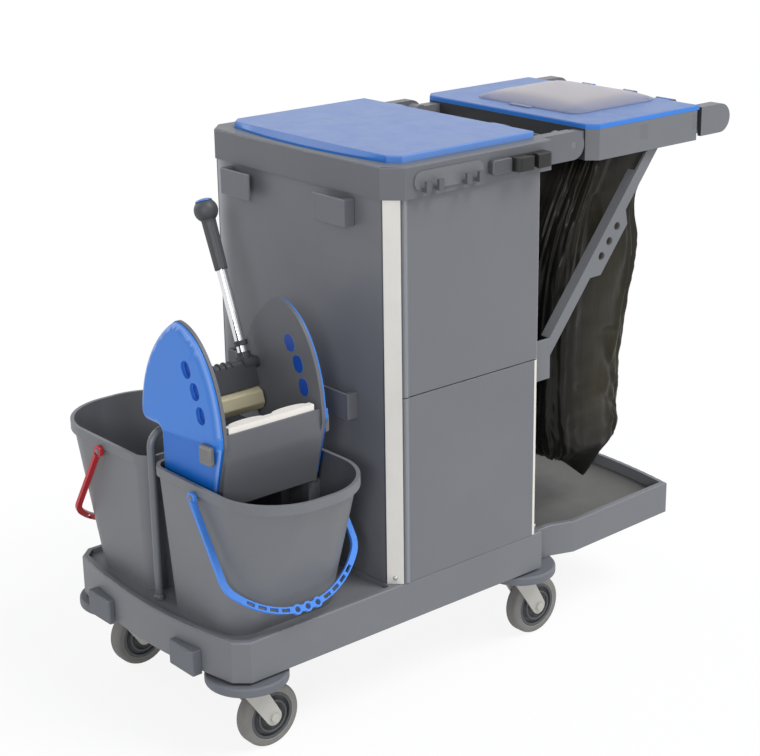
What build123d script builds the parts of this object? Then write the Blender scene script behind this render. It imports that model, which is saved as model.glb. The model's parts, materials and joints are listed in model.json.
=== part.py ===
from build123d import *
from math import cos, degrees, radians, sin
import os

# Double mop bucket trolley, in millimetres.
# +X runs from the buckets to the push handle, +Z is up, and the floor is Z = 0.
# The origin lies on the floor, in the middle of the overall length and width.

# Casters and bumper discs
WHEEL_DIAMETER = 125.0
WHEEL_WIDTH = 32.0
TYRE_THICKNESS = 16.0
HUB_WIDTH = 36.0
HUB_DISH = 8.0
AXLE_DIAMETER = 12.0
AXLE_HEAD_DIAMETER = 19.0
AXLE_HEAD_HEIGHT = 5.0
CASTER_TRAIL = 42.0
FORK_PLATE = 4.0
FORK_CROWN = 17.0
FORK_CROWN_DIAMETER = 64.0
FORK_EYE_DIAMETER = 34.0
FORK_LEG_WIDTH = 45.0
FORK_SIDE_GAP = 0.5
WHEEL_TOP_GAP = 5.0
STEM_DIAMETER = 14.0
STEM_HEAD_DIAMETER = 24.0
STEM_HEAD_HEIGHT = 5.0
STEM_DEPTH = 44.0
SWIVEL_GAP = 2.0
DISC_DIAMETER = 156.0
DISC_HEIGHT = 19.0
DISC_EDGE_RADIUS = 5.0
DISC_SPACER_HEIGHT = 6.0
DISC_SPACER_DIAMETER = 19.0

# Base tray
BASE_LENGTH = 786.0
BASE_WIDTH = 549.0
BASE_HEIGHT = 80.0
BASE_BOW = 27.0
BASE_CORNER_X = 26.0
BASE_CORNER_Y = 23.5
BASE_WALL = 6.0
BASE_EDGE_RADIUS = 4.0
DECK_RECESS = 8.0
DECK_RIM = 12.0
DECK_THICKNESS = 6.0
CASTER_BOSS_DIAMETER = 52.0
CASTER_INSET_FRONT = 84.0
CASTER_INSET_REAR = 10.0
CASTER_INSET_SIDE = 58.5
BLOCK_WIDTH = 75.0
BLOCK_HEIGHT = 50.0
BLOCK_DROP = 6.0
BLOCK_PROUD = 9.0
BLOCK_SPACING = 279.0
BLOCK_EDGE_RADIUS = 4.0

# Divider hoop
HOOP_DIAMETER = 16.0
HOOP_HEIGHT = 334.0
HOOP_LENGTH = 256.0
HOOP_BEND_RADIUS = 30.0
HOOP_FOOT_DIAMETER = 21.0
HOOP_FOOT_HEIGHT = 8.0

# Buckets
BUCKET_GAP = 22.0
BUCKET_FRONT_GAP = 29.5
BUCKET_REAR_GAP = 79.5
BUCKET_HEIGHT = 281.0
BUCKET_WALL = 3.5
BUCKET_RIM_LENGTH = 275.0
BUCKET_RIM_REACH = 337.0
BUCKET_FOOT_LENGTH = 246.0
BUCKET_FOOT_REACH = 207.0
BUCKET_FOOT_SETBACK = 14.0
RIM_END_RADIUS = 122.0
FOOT_END_RADIUS = 50.0
INNER_CORNER_RADIUS = 30.0
RIM_BAND_HEIGHT = 18.0
RIM_BAND_PROUD = 4.0
WRINGER_SEAT_HEIGHT = 224.0
SEAT_RIB_WIDTH = 20.0
SEAT_RIB_NEAR = 72.0
SEAT_RIB_FAR = 158.0
BAIL_STUD_DIAMETER = 12.0
BAIL_PIVOT_REACH = 144.0
BAIL_PIVOT_DROP = 23.0

# Bails
BAIL_LENGTH = 250.0
BAIL_ARM = 172.0
BAIL_ANGLE = 32.5
BAIL_STRAP = 12.0
BAIL_THICKNESS = 7.0
BAIL_EYE_DIAMETER = 22.0
BAIL_EYE_WIDTH = 8.0
BAIL_SIDE_GAP = 1.0
BAIL_CORNER_RADIUS = 46.0
BAIL_RING_DIAMETER = 19.0
BAIL_RING_HOLE = 11.0
BAIL_RING_SPACING = 23.0
BAIL_SLOTS = 4
BAIL_SLOT_PITCH = 24.0
BAIL_SLOT_WIDTH = 6.5
BAIL_SLOT_LENGTH = 17.0
BAIL_SLOT_START = 48.0

# Wringer
WRINGER_LENGTH = 248.0
CHEEK_THICKNESS = 7.0
COVER_THICKNESS = 12.0
COVER_MARGIN = 2.0
COVER_STEP = 1.5
COVER_BEVEL_WIDTH = 14.0
COVER_BEVEL_DEPTH = 7.0
COVER_FOOT_GAP = 20.0
CHEEK_HEIGHT = 340.0
CHEEK_SHOULDER = 126.0
CHEEK_BROW = 130.0
CHEEK_FRONT_REACH = 213.0
CHEEK_BACK_SETBACK = 24.0
CHEEK_OVERHANG = 41.0
CHEEK_PEAK_SETBACK = 82.0
CHEEK_FOOT_SETBACK = 34.0
CHEEK_PEAK_RADIUS = 24.0
CHEEK_CORNER_RADIUS = 18.0
CHEEK_HOLE_WIDTH = 28.0
CHEEK_HOLE_LENGTH = 35.0
CHEEK_HOLE_PLACES = ((121.0, 80.0, 60.0), (145.0, 115.0, 67.0), (160.0, 156.0, 76.0))
WRINGER_WALL = 5.0
WRINGER_FRONT_TOP = 154.0
WRINGER_FRONT_HEIGHT = 112.0
WRINGER_BACK_HEIGHT = 60.0
DRAIN_SLOT_LENGTH = 120.0
DRAIN_SLOT_WIDTH = 8.0
DRAIN_SLOTS = 5
JAW_HEIGHT = 22.0
JAW_DEPTH = 14.0
JAW_WAVE = 10.0
JAW_LOBES = 2
JAW_CLIP_WIDTH = 34.0
JAW_CLIP_HEIGHT = 36.0
JAW_CLIP_PROUD = 11.0
JAW_CLIP_CHAMFER = 3.0
PRESS_SHAFT_DIAMETER = 22.0
PRESS_SHAFT_SETBACK = 18.0
PRESS_SHAFT_HEIGHT = 200.0
RUNNING_CLEARANCE = 0.05
SIDE_CLEARANCE = 1.0
PRESS_ARM_REACH = 44.0
PRESS_ARM_THICKNESS = 28.0
PRESS_PAD_REACH = 88.0
PRESS_PAD_THICKNESS = 38.0
PRESS_PAD_CHAMFER = 11.0
PRESS_ANGLE = 70.0
LEVER_OFFSET = 80.0
LEVER_LEAN = 21.6
LEVER_SOCKET_LENGTH = 12.0
LEVER_SOCKET_DIAMETER = 26.0
LEVER_COLLAR = 3.0
LEVER_TUBE_DIAMETER = 20.0
LEVER_TUBE_LENGTH = 190.0
LEVER_GRIP_LENGTH = 118.0
LEVER_GRIP_DIAMETER = 28.0
LEVER_BALL_DIAMETER = 46.0
LEVER_CAP_HEIGHT = 6.0
LEVER_CAP_DIAMETER = 33.0

# Cabinet
CABINET_SIDE_PROUD = 0.5
CABINET_HEIGHT = 746.0
POST_CHAMFER = 23.0
POST_DEPTH = 14.0
PANEL_THICKNESS = 4.0
PANEL_SPLIT_HEIGHT = 374.0
PANEL_SPLIT_GAP = 2.0
PANEL_BEAD_DIAMETER = 9.0
PANEL_BEAD_INSET = 12.0
SCREW_HEAD_DIAMETER = 9.0
SCREW_HEAD_HEIGHT = 2.5
SCREW_HEIGHT = 12.0
HOLDER_WIDTH = 93.0
HOLDER_HEIGHT = 52.0
HOLDER_DEPTH = 26.0
HOLDER_PLATE = 5.0
HOLDER_LIP = 13.0
HOLDER_NEAR_EDGE = 176.0
HOLDER_FAR_EDGE = 205.0
HOLDER_UPPER_DROP = 34.0
HOLDER_LOWER_DROP = 404.0

# Top collar with its rear trough and hinge arms
COLLAR_SIDE_PROUD = 7.5
COLLAR_HEIGHT = 59.0
COLLAR_PROUD = 4.0
COLLAR_BOW = 3.0
COLLAR_CHAMFER = 32.0
COLLAR_WALL = 6.0
COLLAR_FLANGE = 20.0
COLLAR_RIM = 6.0
COLLAR_EDGE_RADIUS = 3.0
LEDGE_WIDTH = 12.0
LEDGE_DEPTH = 9.0
TROUGH_LENGTH = 63.0
TROUGH_DEPTH = 46.0
TROUGH_WALL = 5.0
ARM_THICKNESS = 24.0
ARM_INSET = 25.0
HINGE_REACH = 95.0
HINGE_HEIGHT = 28.0
FRAME_PIN_DIAMETER = 14.0

# Hooks and handle clip on the collar's near side
HOOK_PLATE_LENGTH = 168.0
HOOK_PLATE_HEIGHT = 36.0
HOOK_PLATE_THICKNESS = 3.0
HOOK_PLATE_START = 52.0
HOOK_REACH = 16.0
HOOK_BAR = 6.0
HOOK_RISE = 20.0
HOOK_PRONG_SPACING = 30.0
HOOK_PAIR_SPACING = 98.0
CLIP_START = 233.0
CLIP_BASE_LENGTH = 50.0
CLIP_BASE_HEIGHT = 28.0
CLIP_BASE_DEPTH = 14.0
CLIP_JAW_LENGTH = 92.0
CLIP_JAW_HEIGHT = 26.0
CLIP_JAW_DEPTH = 30.0
CLIP_JAW_SLOT = 12.0

# Cabinet lid
LID_SIDE_MARGIN = 33.5
LID_FRONT_MARGIN = 35.0
LID_REAR_MARGIN = 15.0
LID_PROUD = 13.0
LID_SKIN = 4.0
LID_SKIRT = 3.0
LID_BOW = 20.0
LID_CORNER = 20.0
LID_CLEARANCE = 1.5
LID_EDGE_RADIUS = 3.0
LID_TOP_BOW = 2.0
LID_LIP_HEIGHT = 4.0
KNUCKLE_DIAMETER = 11.0
KNUCKLE_WIDTH = 34.0
KNUCKLE_SPACING = 300.0
KNUCKLE_EAR = 7.0
KNUCKLE_LIFT = 0.5
KNUCKLE_SIDE_GAP = 0.5
KNUCKLE_REACH = 8.0
LID_PIN_DIAMETER = 5.0

# Bag frame, push handle and bag lid
FRAME_GAP = 54.0
FRAME_LENGTH = 331.0
FRAME_SIDE_INSET = 2.0
FRAME_HEIGHT = 62.0
FRAME_TOP_ABOVE_HINGE = 22.0
FRAME_BAR = 34.0
FRAME_WALL = 6.0
FRAME_CORNER = 20.0
LUG_WIDTH = 28.0
LUG_DIAMETER = 44.0
LUG_HEIGHT = 36.0
LUG_SIDE_GAP = 2.0
HANDLE_REACH = 85.0
HANDLE_END_DIAMETER = 60.0
HANDLE_END_LIFT = 6.0
HANDLE_GRIP_DIAMETER = 34.0
HANDLE_ARM = 30.0
HANDLE_SLOT = 16.0
HANDLE_SLOT_ROOF = 20.0
BAG_LID_HEIGHT = 9.7
BAG_LID_LIFT = 0.3
BAG_LID_SKIN = 4.0
BAG_LID_SKIRT = 3.0
HATCH_LENGTH = 254.0
HATCH_WIDTH = 294.0
HATCH_HEIGHT = 20.0
HATCH_DRAFT = 30.0
HATCH_SKIN = 2.5
HATCH_LAP = 24.0
HATCH_FRONT_MARGIN = 54.0
HATCH_LIFT = 0.3
HATCH_CORNER_RADIUS = 24.0
HATCH_HOLE_RADIUS = 3.0
HATCH_TAB_WIDTH = 60.0
HATCH_TAB_REACH = 12.0
HATCH_KNUCKLE_SPACING = 120.0
HATCH_KNUCKLE_DIAMETER = 8.0
HATCH_KNUCKLE_WIDTH = 24.0
HATCH_PIN_DIAMETER = 4.0
HATCH_EAR = 5.0
HATCH_KNUCKLE_REACH = 6.0

# Struts between bag frame and cabinet
STRUT_TOP_REACH = 260.0
STRUT_TOP_DROP = 28.0
STRUT_FOOT_REACH = 37.0
STRUT_FOOT_HEIGHT = 350.0
STRUT_WEB = 6.0
STRUT_HALF_WIDTH = 12.5
STRUT_FLANGE = 24.0
STRUT_FLANGE_THICKNESS = 5.0
STRUT_FLANGE_START = 42.0
STRUT_FLANGE_END = 78.0
STRUT_LOBE_DEPTH = 36.0
STRUT_LOBE_START = 192.0
STRUT_LOBE_END = 352.0
STRUT_LOBE_SLOPE = 20.0
STRUT_HOLE_DIAMETER = 17.0
STRUT_HOLE_PITCH = 35.0
STRUT_HOLE_CENTRE = 278.0
STRUT_PIN_DIAMETER = 10.0
BRACKET_HEIGHT = 84.0
BRACKET_PLATE = 4.0
BRACKET_CHEEK = 6.0
BRACKET_WIDTH = 34.0
BRACKET_SIDE_GAP = 0.5

# Rear platform
PLATFORM_LENGTH = 439.0
PLATFORM_HEIGHT = 69.0
PLATFORM_DROP = 5.0
PLATFORM_NECK_INSET = 35.0
PLATFORM_INSET = 17.0
PLATFORM_END_INSET = 29.0
PLATFORM_NECK_LENGTH = 62.0
PLATFORM_FLARE_LENGTH = 50.0
PLATFORM_BOW = 24.0
PLATFORM_RIM = 12.0
PLATFORM_RECESS = 24.0
PLATFORM_FLOOR = 8.0
PLATFORM_WALL = 6.0

# Waste bag
BAG_CLEARANCE = 0.5
BAG_TOP_DROP = 8.0
BAG_LENGTH = 725.0
BAG_SKIN = 1.2
BAG_CORNER_RADIUS = 40.0

# Heights of the main levels
crown_bottom = WHEEL_DIAMETER + WHEEL_TOP_GAP
crown_top = crown_bottom + FORK_CROWN
disc_bottom = crown_top + SWIVEL_GAP
disc_top = disc_bottom + DISC_HEIGHT
base_bottom = disc_top + DISC_SPACER_HEIGHT
base_top = base_bottom + BASE_HEIGHT
deck = base_top - DECK_RECESS
cabinet_top = base_top + CABINET_HEIGHT
collar_top = cabinet_top + COLLAR_HEIGHT
hinge_z = cabinet_top + HINGE_HEIGHT
frame_top = hinge_z + FRAME_TOP_ABOVE_HINGE
frame_bottom = frame_top - FRAME_HEIGHT
platform_bottom = base_bottom - PLATFORM_DROP
platform_top = platform_bottom + PLATFORM_HEIGHT

# Half widths that follow the base
cabinet_half = BASE_WIDTH / 2 + CABINET_SIDE_PROUD
collar_half = cabinet_half + COLLAR_SIDE_PROUD
arm_outer = cabinet_half - ARM_INSET
frame_half = arm_outer - FRAME_SIDE_INSET

# Stations along the length
overall_length = (
    BLOCK_PROUD + BASE_LENGTH + HINGE_REACH + FRAME_GAP + FRAME_LENGTH + HANDLE_REACH
)
base_front = BLOCK_PROUD - overall_length / 2
base_rear = base_front + BASE_LENGTH
cabinet_rear = base_rear
bay_length = BUCKET_FRONT_GAP + BUCKET_RIM_LENGTH + 2 * RIM_BAND_PROUD + BUCKET_REAR_GAP
cabinet_front = base_front + bay_length
cabinet_length = cabinet_rear - cabinet_front
hinge_x = cabinet_rear + HINGE_REACH
frame_front = hinge_x + FRAME_GAP
frame_rear = frame_front + FRAME_LENGTH
handle_x = overall_length / 2 - HANDLE_END_DIAMETER / 2
bucket_x = base_front + BUCKET_FRONT_GAP + RIM_BAND_PROUD + BUCKET_RIM_LENGTH / 2
caster_places = [
    (x, side * (BASE_WIDTH / 2 - CASTER_INSET_SIDE))
    for x in (base_front + CASTER_INSET_FRONT, base_rear - CASTER_INSET_REAR)
    for side in (-1, 1)
]

os.makedirs("parts", exist_ok=True)


def write_piece(builder, name):
    """Label a finished piece and write its file."""
    builder.part.label = name
    export_step(builder.part, f"parts/{name}.step")


def base_plan(inset=0.0):
    """Plan of the base: bowed front, chamfered front corners, square rear."""
    half = BASE_WIDTH / 2
    corner = (base_front + BASE_BOW, half - BASE_CORNER_Y)
    shoulder = (corner[0] + BASE_CORNER_X, half)
    with BuildSketch() as plan:
        with BuildLine():
            bow = ThreePointArc((corner[0], -corner[1]), (base_front, 0), corner)
            Polyline(
                corner,
                shoulder,
                (base_rear, half),
                (base_rear, -half),
                (shoulder[0], -half),
                bow @ 0,
            )
        make_face()
        if inset:
            offset(amount=-inset, kind=Kind.INTERSECTION)
    return plan.sketch


# Base tray: sunk deck in front, hollow underneath, a boss over each caster
with BuildPart() as base_tray:
    with BuildSketch(Plane.XY.offset(base_bottom)):
        add(base_plan())
    extrude(amount=BASE_HEIGHT)
    fillet(base_tray.faces().sort_by(Axis.Z)[-1].edges(), BASE_EDGE_RADIUS)
    with BuildSketch(Plane.XY.offset(base_top)):
        add(base_plan(DECK_RIM))
        with Locations((cabinet_front - BASE_LENGTH / 2 - COLLAR_PROUD, 0)):
            Rectangle(BASE_LENGTH, BASE_WIDTH, mode=Mode.INTERSECT)
    extrude(amount=-DECK_RECESS, mode=Mode.SUBTRACT)
    with BuildSketch(Plane.XY.offset(base_bottom)):
        add(base_plan(BASE_WALL))
        with Locations(*caster_places):
            Circle(CASTER_BOSS_DIAMETER / 2, mode=Mode.SUBTRACT)
    extrude(amount=deck - DECK_THICKNESS - base_bottom, mode=Mode.SUBTRACT)
    with BuildSketch(Plane.XY.offset(base_bottom)):
        with Locations(*caster_places):
            Circle(STEM_DIAMETER / 2)
    extrude(amount=STEM_DEPTH, mode=Mode.SUBTRACT)
write_piece(base_tray, "base_tray")

# Bumper blocks on the front face, shaped to the bow behind them
with BuildPart() as bumper_blocks:
    block_top = base_bottom - BLOCK_DROP + BLOCK_HEIGHT
    block_depth = BASE_BOW + BLOCK_PROUD
    with BuildSketch(Plane.XY.offset(base_bottom - BLOCK_DROP)):
        with Locations(
            *[(base_front - BLOCK_PROUD + block_depth / 2, side * BLOCK_SPACING / 2) for side in (-1, 1)]
        ):
            Rectangle(block_depth, BLOCK_WIDTH)
    extrude(amount=BLOCK_HEIGHT)
    fillet(bumper_blocks.faces().sort_by(Axis.X)[:2].edges(), BLOCK_EDGE_RADIUS)
    with BuildSketch(Plane.XY.offset(base_bottom - BLOCK_DROP)):
        add(base_plan())
    extrude(amount=BLOCK_HEIGHT, mode=Mode.SUBTRACT)
write_piece(bumper_blocks, "bumper_blocks")

# Bumper discs, each with a spacer up to the base and a bore for the stem
with BuildPart() as corner_bumpers:
    with BuildSketch(Plane.XY.offset(disc_bottom)):
        with Locations(*caster_places):
            Circle(DISC_DIAMETER / 2)
    extrude(amount=DISC_HEIGHT)
    fillet(corner_bumpers.edges().filter_by(GeomType.CIRCLE), DISC_EDGE_RADIUS)
    with BuildSketch(Plane.XY.offset(disc_top)):
        with Locations(*caster_places):
            Circle(DISC_SPACER_DIAMETER / 2)
    extrude(amount=DISC_SPACER_HEIGHT)
    with BuildSketch(Plane.XY.offset(disc_bottom)):
        with Locations(*caster_places):
            Circle(STEM_DIAMETER / 2)
    extrude(amount=DISC_HEIGHT + DISC_SPACER_HEIGHT, mode=Mode.SUBTRACT)
write_piece(corner_bumpers, "corner_bumpers")

# Caster stems: pressed into the base, with a head that holds the fork
with BuildPart() as caster_stems:
    with BuildSketch(Plane.XY.offset(crown_bottom - KNUCKLE_LIFT - STEM_HEAD_HEIGHT)):
        with Locations(*caster_places):
            Circle(STEM_HEAD_DIAMETER / 2)
    extrude(amount=STEM_HEAD_HEIGHT)
    with BuildSketch(Plane.XY.offset(crown_bottom - KNUCKLE_LIFT)):
        with Locations(*caster_places):
            Circle(STEM_DIAMETER / 2)
    extrude(amount=base_bottom + STEM_DEPTH - crown_bottom + KNUCKLE_LIFT)
write_piece(caster_stems, "caster_stems")

# Casters: a fork with its axle bolt, a hub and a tyre at each corner
wheel_radius = WHEEL_DIAMETER / 2
rim_radius = wheel_radius - TYRE_THICKNESS
leg_centre = HUB_WIDTH / 2 + FORK_SIDE_GAP + FORK_PLATE / 2
for caster_name, (stem_x, stem_y) in zip(
    ("front_near", "front_far", "rear_near", "rear_far"), caster_places
):
    wheel_x = stem_x + CASTER_TRAIL
    wheel_plane = Plane.XZ.offset(-stem_y)
    with BuildPart() as fork:
        with BuildSketch(Plane.XY.offset(crown_bottom)):
            with Locations((stem_x, stem_y)):
                Circle(FORK_CROWN_DIAMETER / 2)
                Circle(STEM_DIAMETER / 2 + RUNNING_CLEARANCE, mode=Mode.SUBTRACT)
        extrude(amount=FORK_CROWN)
        for side in (-1, 1):
            with BuildSketch(Plane.XZ.offset(-stem_y + side * leg_centre)):
                with Locations((wheel_x, wheel_radius)):
                    Circle(FORK_EYE_DIAMETER / 2)
                with Locations((stem_x, crown_bottom)):
                    Rectangle(FORK_LEG_WIDTH, FORK_PLATE)
                make_hull()
            extrude(amount=FORK_PLATE / 2, both=True)
        with BuildSketch(wheel_plane):
            with Locations((wheel_x, wheel_radius)):
                Circle(AXLE_DIAMETER / 2)
        extrude(amount=leg_centre + FORK_PLATE / 2, both=True)
        for side in (-1, 1):
            with BuildSketch(wheel_plane.offset(side * (leg_centre + FORK_PLATE / 2 + AXLE_HEAD_HEIGHT / 2))):
                with Locations((wheel_x, wheel_radius)):
                    RegularPolygon(AXLE_HEAD_DIAMETER / 2, 6)
            extrude(amount=AXLE_HEAD_HEIGHT / 2, both=True)
    write_piece(fork, f"caster_fork_{caster_name}")

    with BuildPart() as hub:
        with BuildSketch(wheel_plane):
            with Locations((wheel_x, wheel_radius)):
                Circle(rim_radius)
        extrude(amount=WHEEL_WIDTH / 2, both=True)
        for side in (-1, 1):
            with BuildSketch(wheel_plane.offset(side * WHEEL_WIDTH / 2)):
                with Locations((wheel_x, wheel_radius)):
                    Circle(rim_radius - BASE_WALL)
                    Circle(AXLE_DIAMETER, mode=Mode.SUBTRACT)
            extrude(amount=-side * HUB_DISH, mode=Mode.SUBTRACT)
        with BuildSketch(wheel_plane):
            with Locations((wheel_x, wheel_radius)):
                Circle(AXLE_DIAMETER)
        extrude(amount=HUB_WIDTH / 2, both=True)
        with BuildSketch(wheel_plane):
            with Locations((wheel_x, wheel_radius)):
                Circle(AXLE_DIAMETER / 2 + RUNNING_CLEARANCE)
        extrude(amount=HUB_WIDTH, both=True, mode=Mode.SUBTRACT)
    write_piece(hub, f"caster_hub_{caster_name}")

    with BuildPart() as tyre:
        with BuildSketch(wheel_plane):
            with Locations((wheel_x, wheel_radius)):
                Circle(wheel_radius)
                Circle(rim_radius + RUNNING_CLEARANCE, mode=Mode.SUBTRACT)
        extrude(amount=WHEEL_WIDTH / 2, both=True)
        fillet(tyre.edges().filter_by(GeomType.CIRCLE).group_by(SortBy.RADIUS)[-1], TYRE_THICKNESS / 2)
    write_piece(tyre, f"caster_tyre_{caster_name}")

# Divider hoop: an inverted U of round tube standing on the deck between the buckets
hoop_top = deck + HOOP_HEIGHT
with BuildPart() as divider_hoop:
    with BuildLine(Plane.XZ) as hoop_path:
        FilletPolyline(
            (bucket_x - HOOP_LENGTH / 2, deck),
            (bucket_x - HOOP_LENGTH / 2, hoop_top),
            (bucket_x + HOOP_LENGTH / 2, hoop_top),
            (bucket_x + HOOP_LENGTH / 2, deck),
            radius=HOOP_BEND_RADIUS,
        )
    with BuildSketch(Plane.XY.offset(deck)):
        with Locations((bucket_x - HOOP_LENGTH / 2, 0)):
            Circle(HOOP_DIAMETER / 2)
    sweep(path=hoop_path.line)
    with BuildSketch(Plane.XY.offset(deck)):
        with Locations((bucket_x - HOOP_LENGTH / 2, 0), (bucket_x + HOOP_LENGTH / 2, 0)):
            Circle(HOOP_FOOT_DIAMETER / 2)
    extrude(amount=HOOP_FOOT_HEIGHT)
write_piece(divider_hoop, "divider_hoop")


def bucket_plan(height, inset=0.0):
    """Plan of the near bucket's outer wall at a height above the deck, drawn in by an inset."""
    share = height / BUCKET_HEIGHT
    length = BUCKET_FOOT_LENGTH + share * (BUCKET_RIM_LENGTH - BUCKET_FOOT_LENGTH) - 2 * inset
    back = BUCKET_GAP / 2 + RIM_BAND_PROUD + (1 - share) * BUCKET_FOOT_SETBACK + inset
    reach = BUCKET_FOOT_REACH + share * (BUCKET_RIM_REACH - BUCKET_FOOT_REACH) - 2 * inset
    end_radius = FOOT_END_RADIUS + share * (RIM_END_RADIUS - FOOT_END_RADIUS) - inset
    with BuildSketch(Plane.XY.offset(deck + height)) as plan:
        with Locations((bucket_x, -back - reach / 2)):
            Rectangle(length, reach)
        fillet(plan.vertices().group_by(Axis.Y)[0], end_radius)
        fillet(plan.vertices().group_by(Axis.Y)[-1], INNER_CORNER_RADIUS - inset)
    return plan.sketch


# Near bucket: tapered tub, rim band, bail studs, and ribs inside for the wringer's feet
wringer_half = WRINGER_LENGTH / 2
seat_inner = wringer_half - COVER_THICKNESS - CHEEK_THICKNESS - SIDE_CLEARANCE
bail_pivot_z = deck + BUCKET_HEIGHT - BAIL_PIVOT_DROP
bail_pivot_y = BUCKET_GAP / 2 + BAIL_PIVOT_REACH
bail_inner = BUCKET_RIM_LENGTH / 2 + RIM_BAND_PROUD + BAIL_SIDE_GAP
with BuildPart() as seat_ribs:
    loft(
        sections=[
            bucket_plan(BUCKET_WALL / 2, BUCKET_WALL / 2),
            bucket_plan(WRINGER_SEAT_HEIGHT, BUCKET_WALL / 2),
        ]
    )
    with BuildSketch(Plane.XY.offset(deck)):
        for rib_y in (SEAT_RIB_NEAR, SEAT_RIB_FAR):
            for side in (-1, 1):
                with Locations((bucket_x + side * (seat_inner + WRINGER_LENGTH / 2), -rib_y)):
                    Rectangle(WRINGER_LENGTH, SEAT_RIB_WIDTH)
    extrude(amount=WRINGER_SEAT_HEIGHT, mode=Mode.INTERSECT)
with BuildPart() as bucket_hollow:
    loft(
        sections=[
            bucket_plan(BUCKET_WALL, BUCKET_WALL),
            bucket_plan(BUCKET_HEIGHT + RIM_BAND_HEIGHT, BUCKET_WALL),
        ]
    )
with BuildPart() as rim_band:
    with BuildSketch(Plane.XY.offset(deck + BUCKET_HEIGHT - RIM_BAND_HEIGHT)):
        add(bucket_plan(BUCKET_HEIGHT, -RIM_BAND_PROUD).moved(Location((0, 0, -deck - BUCKET_HEIGHT))))
    extrude(amount=RIM_BAND_HEIGHT)
    add(bucket_hollow.part, mode=Mode.SUBTRACT)
with BuildPart() as bucket_near:
    loft(sections=[bucket_plan(0), bucket_plan(BUCKET_HEIGHT)])
    stud_root = BUCKET_FOOT_LENGTH / 2
    for side in (-1, 1):
        with BuildSketch(Plane.YZ.offset(bucket_x + side * stud_root)):
            with Locations((-bail_pivot_y, bail_pivot_z)):
                Circle(BAIL_STUD_DIAMETER / 2)
        extrude(amount=side * (bail_inner + BAIL_EYE_WIDTH + BAIL_SIDE_GAP - stud_root))
    add(bucket_hollow.part, mode=Mode.SUBTRACT)
    add(rim_band.part)
    add(seat_ribs.part)
write_piece(bucket_near, "bucket_near")

with BuildPart() as bucket_far:
    mirror(bucket_near.part, about=Plane.XZ)
write_piece(bucket_far, "bucket_far")

# Near bail: a flat strap in a plane that leans out from the pivot, with rings and slots at its middle
bail_plane = Plane(
    origin=(bucket_x, -bail_pivot_y, bail_pivot_z),
    x_dir=(1, 0, 0),
    z_dir=(0, cos(radians(BAIL_ANGLE)), -sin(radians(BAIL_ANGLE))),
)
with BuildPart() as bail_near:
    strap_half = bail_inner + BAIL_STRAP / 2
    with BuildSketch(bail_plane) as strap:
        with BuildLine():
            loop = ThreePointArc((-strap_half, BAIL_ARM), (0, BAIL_LENGTH), (strap_half, BAIL_ARM))
            Polyline(loop @ 1, (strap_half, 0), (-strap_half, 0), loop @ 0)
        make_face()
        fillet(strap.vertices().group_by(Axis.Y)[-1], BAIL_CORNER_RADIUS)
        offset(amount=BAIL_STRAP / 2, kind=Kind.INTERSECTION)
        with BuildSketch(mode=Mode.SUBTRACT) as window:
            with BuildLine():
                inner_loop = ThreePointArc((-strap_half, BAIL_ARM), (0, BAIL_LENGTH), (strap_half, BAIL_ARM))
                Polyline(inner_loop @ 1, (strap_half, 0), (-strap_half, 0), inner_loop @ 0)
            make_face()
            fillet(window.vertices().group_by(Axis.Y)[-1], BAIL_CORNER_RADIUS)
            offset(amount=-BAIL_STRAP / 2, kind=Kind.INTERSECTION)
        with Locations((0, 0)):
            Rectangle(2 * strap_half + 2 * BAIL_STRAP, BAIL_STRAP * 2, mode=Mode.SUBTRACT)
        ring_places = [(step * BAIL_RING_SPACING, BAIL_LENGTH - abs(step)) for step in (-1, 0, 1)]
        with Locations(*ring_places):
            Circle(BAIL_RING_DIAMETER / 2)
        with Locations(*ring_places):
            Circle(BAIL_RING_HOLE / 2, mode=Mode.SUBTRACT)
        rise = BAIL_LENGTH - BAIL_ARM
        loop_radius = (strap_half**2 + rise**2) / (2 * rise)
        slot_step = degrees(BAIL_SLOT_PITCH / loop_radius)
        slot_start = degrees(BAIL_SLOT_START / loop_radius)
        with Locations((0, BAIL_LENGTH - loop_radius)):
            for first_angle in (90 + slot_start, 90 - slot_start - (BAIL_SLOTS - 1) * slot_step):
                with PolarLocations(loop_radius, BAIL_SLOTS, first_angle, BAIL_SLOTS * slot_step):
                    Rectangle(BAIL_SLOT_WIDTH, BAIL_SLOT_LENGTH, mode=Mode.SUBTRACT)
    extrude(amount=BAIL_THICKNESS / 2, both=True)
    for side in (-1, 1):
        with BuildSketch(Plane.YZ.offset(bucket_x + side * (bail_inner + BAIL_EYE_WIDTH / 2))):
            with Locations((-bail_pivot_y, bail_pivot_z)):
                Circle(BAIL_EYE_DIAMETER / 2)
        extrude(amount=BAIL_EYE_WIDTH / 2, both=True)
        with BuildSketch(bail_plane):
            with Locations((side * strap_half, BAIL_STRAP)):
                Rectangle(BAIL_STRAP, BAIL_STRAP)
        extrude(amount=BAIL_THICKNESS / 2, both=True)
    with BuildSketch(Plane.YZ.offset(bucket_x)):
        with Locations((-bail_pivot_y, bail_pivot_z)):
            Circle(BAIL_STUD_DIAMETER / 2 + RUNNING_CLEARANCE)
    extrude(amount=2 * strap_half, both=True, mode=Mode.SUBTRACT)
write_piece(bail_near, "bail_near")

with BuildPart() as bail_far:
    mirror(bail_near.part, about=Plane.XZ)
write_piece(bail_far, "bail_far")

# Wringer: two cheeks joined by a drained basin, standing on the ribs in the near bucket
seat_z = deck + WRINGER_SEAT_HEIGHT
cheek_outer = wringer_half - COVER_THICKNESS
cheek_inner = cheek_outer - CHEEK_THICKNESS
shaft_y = -PRESS_SHAFT_SETBACK
shaft_z = seat_z + PRESS_SHAFT_HEIGHT
front_wall_y = -CHEEK_FRONT_REACH + 2 * WRINGER_WALL


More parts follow.
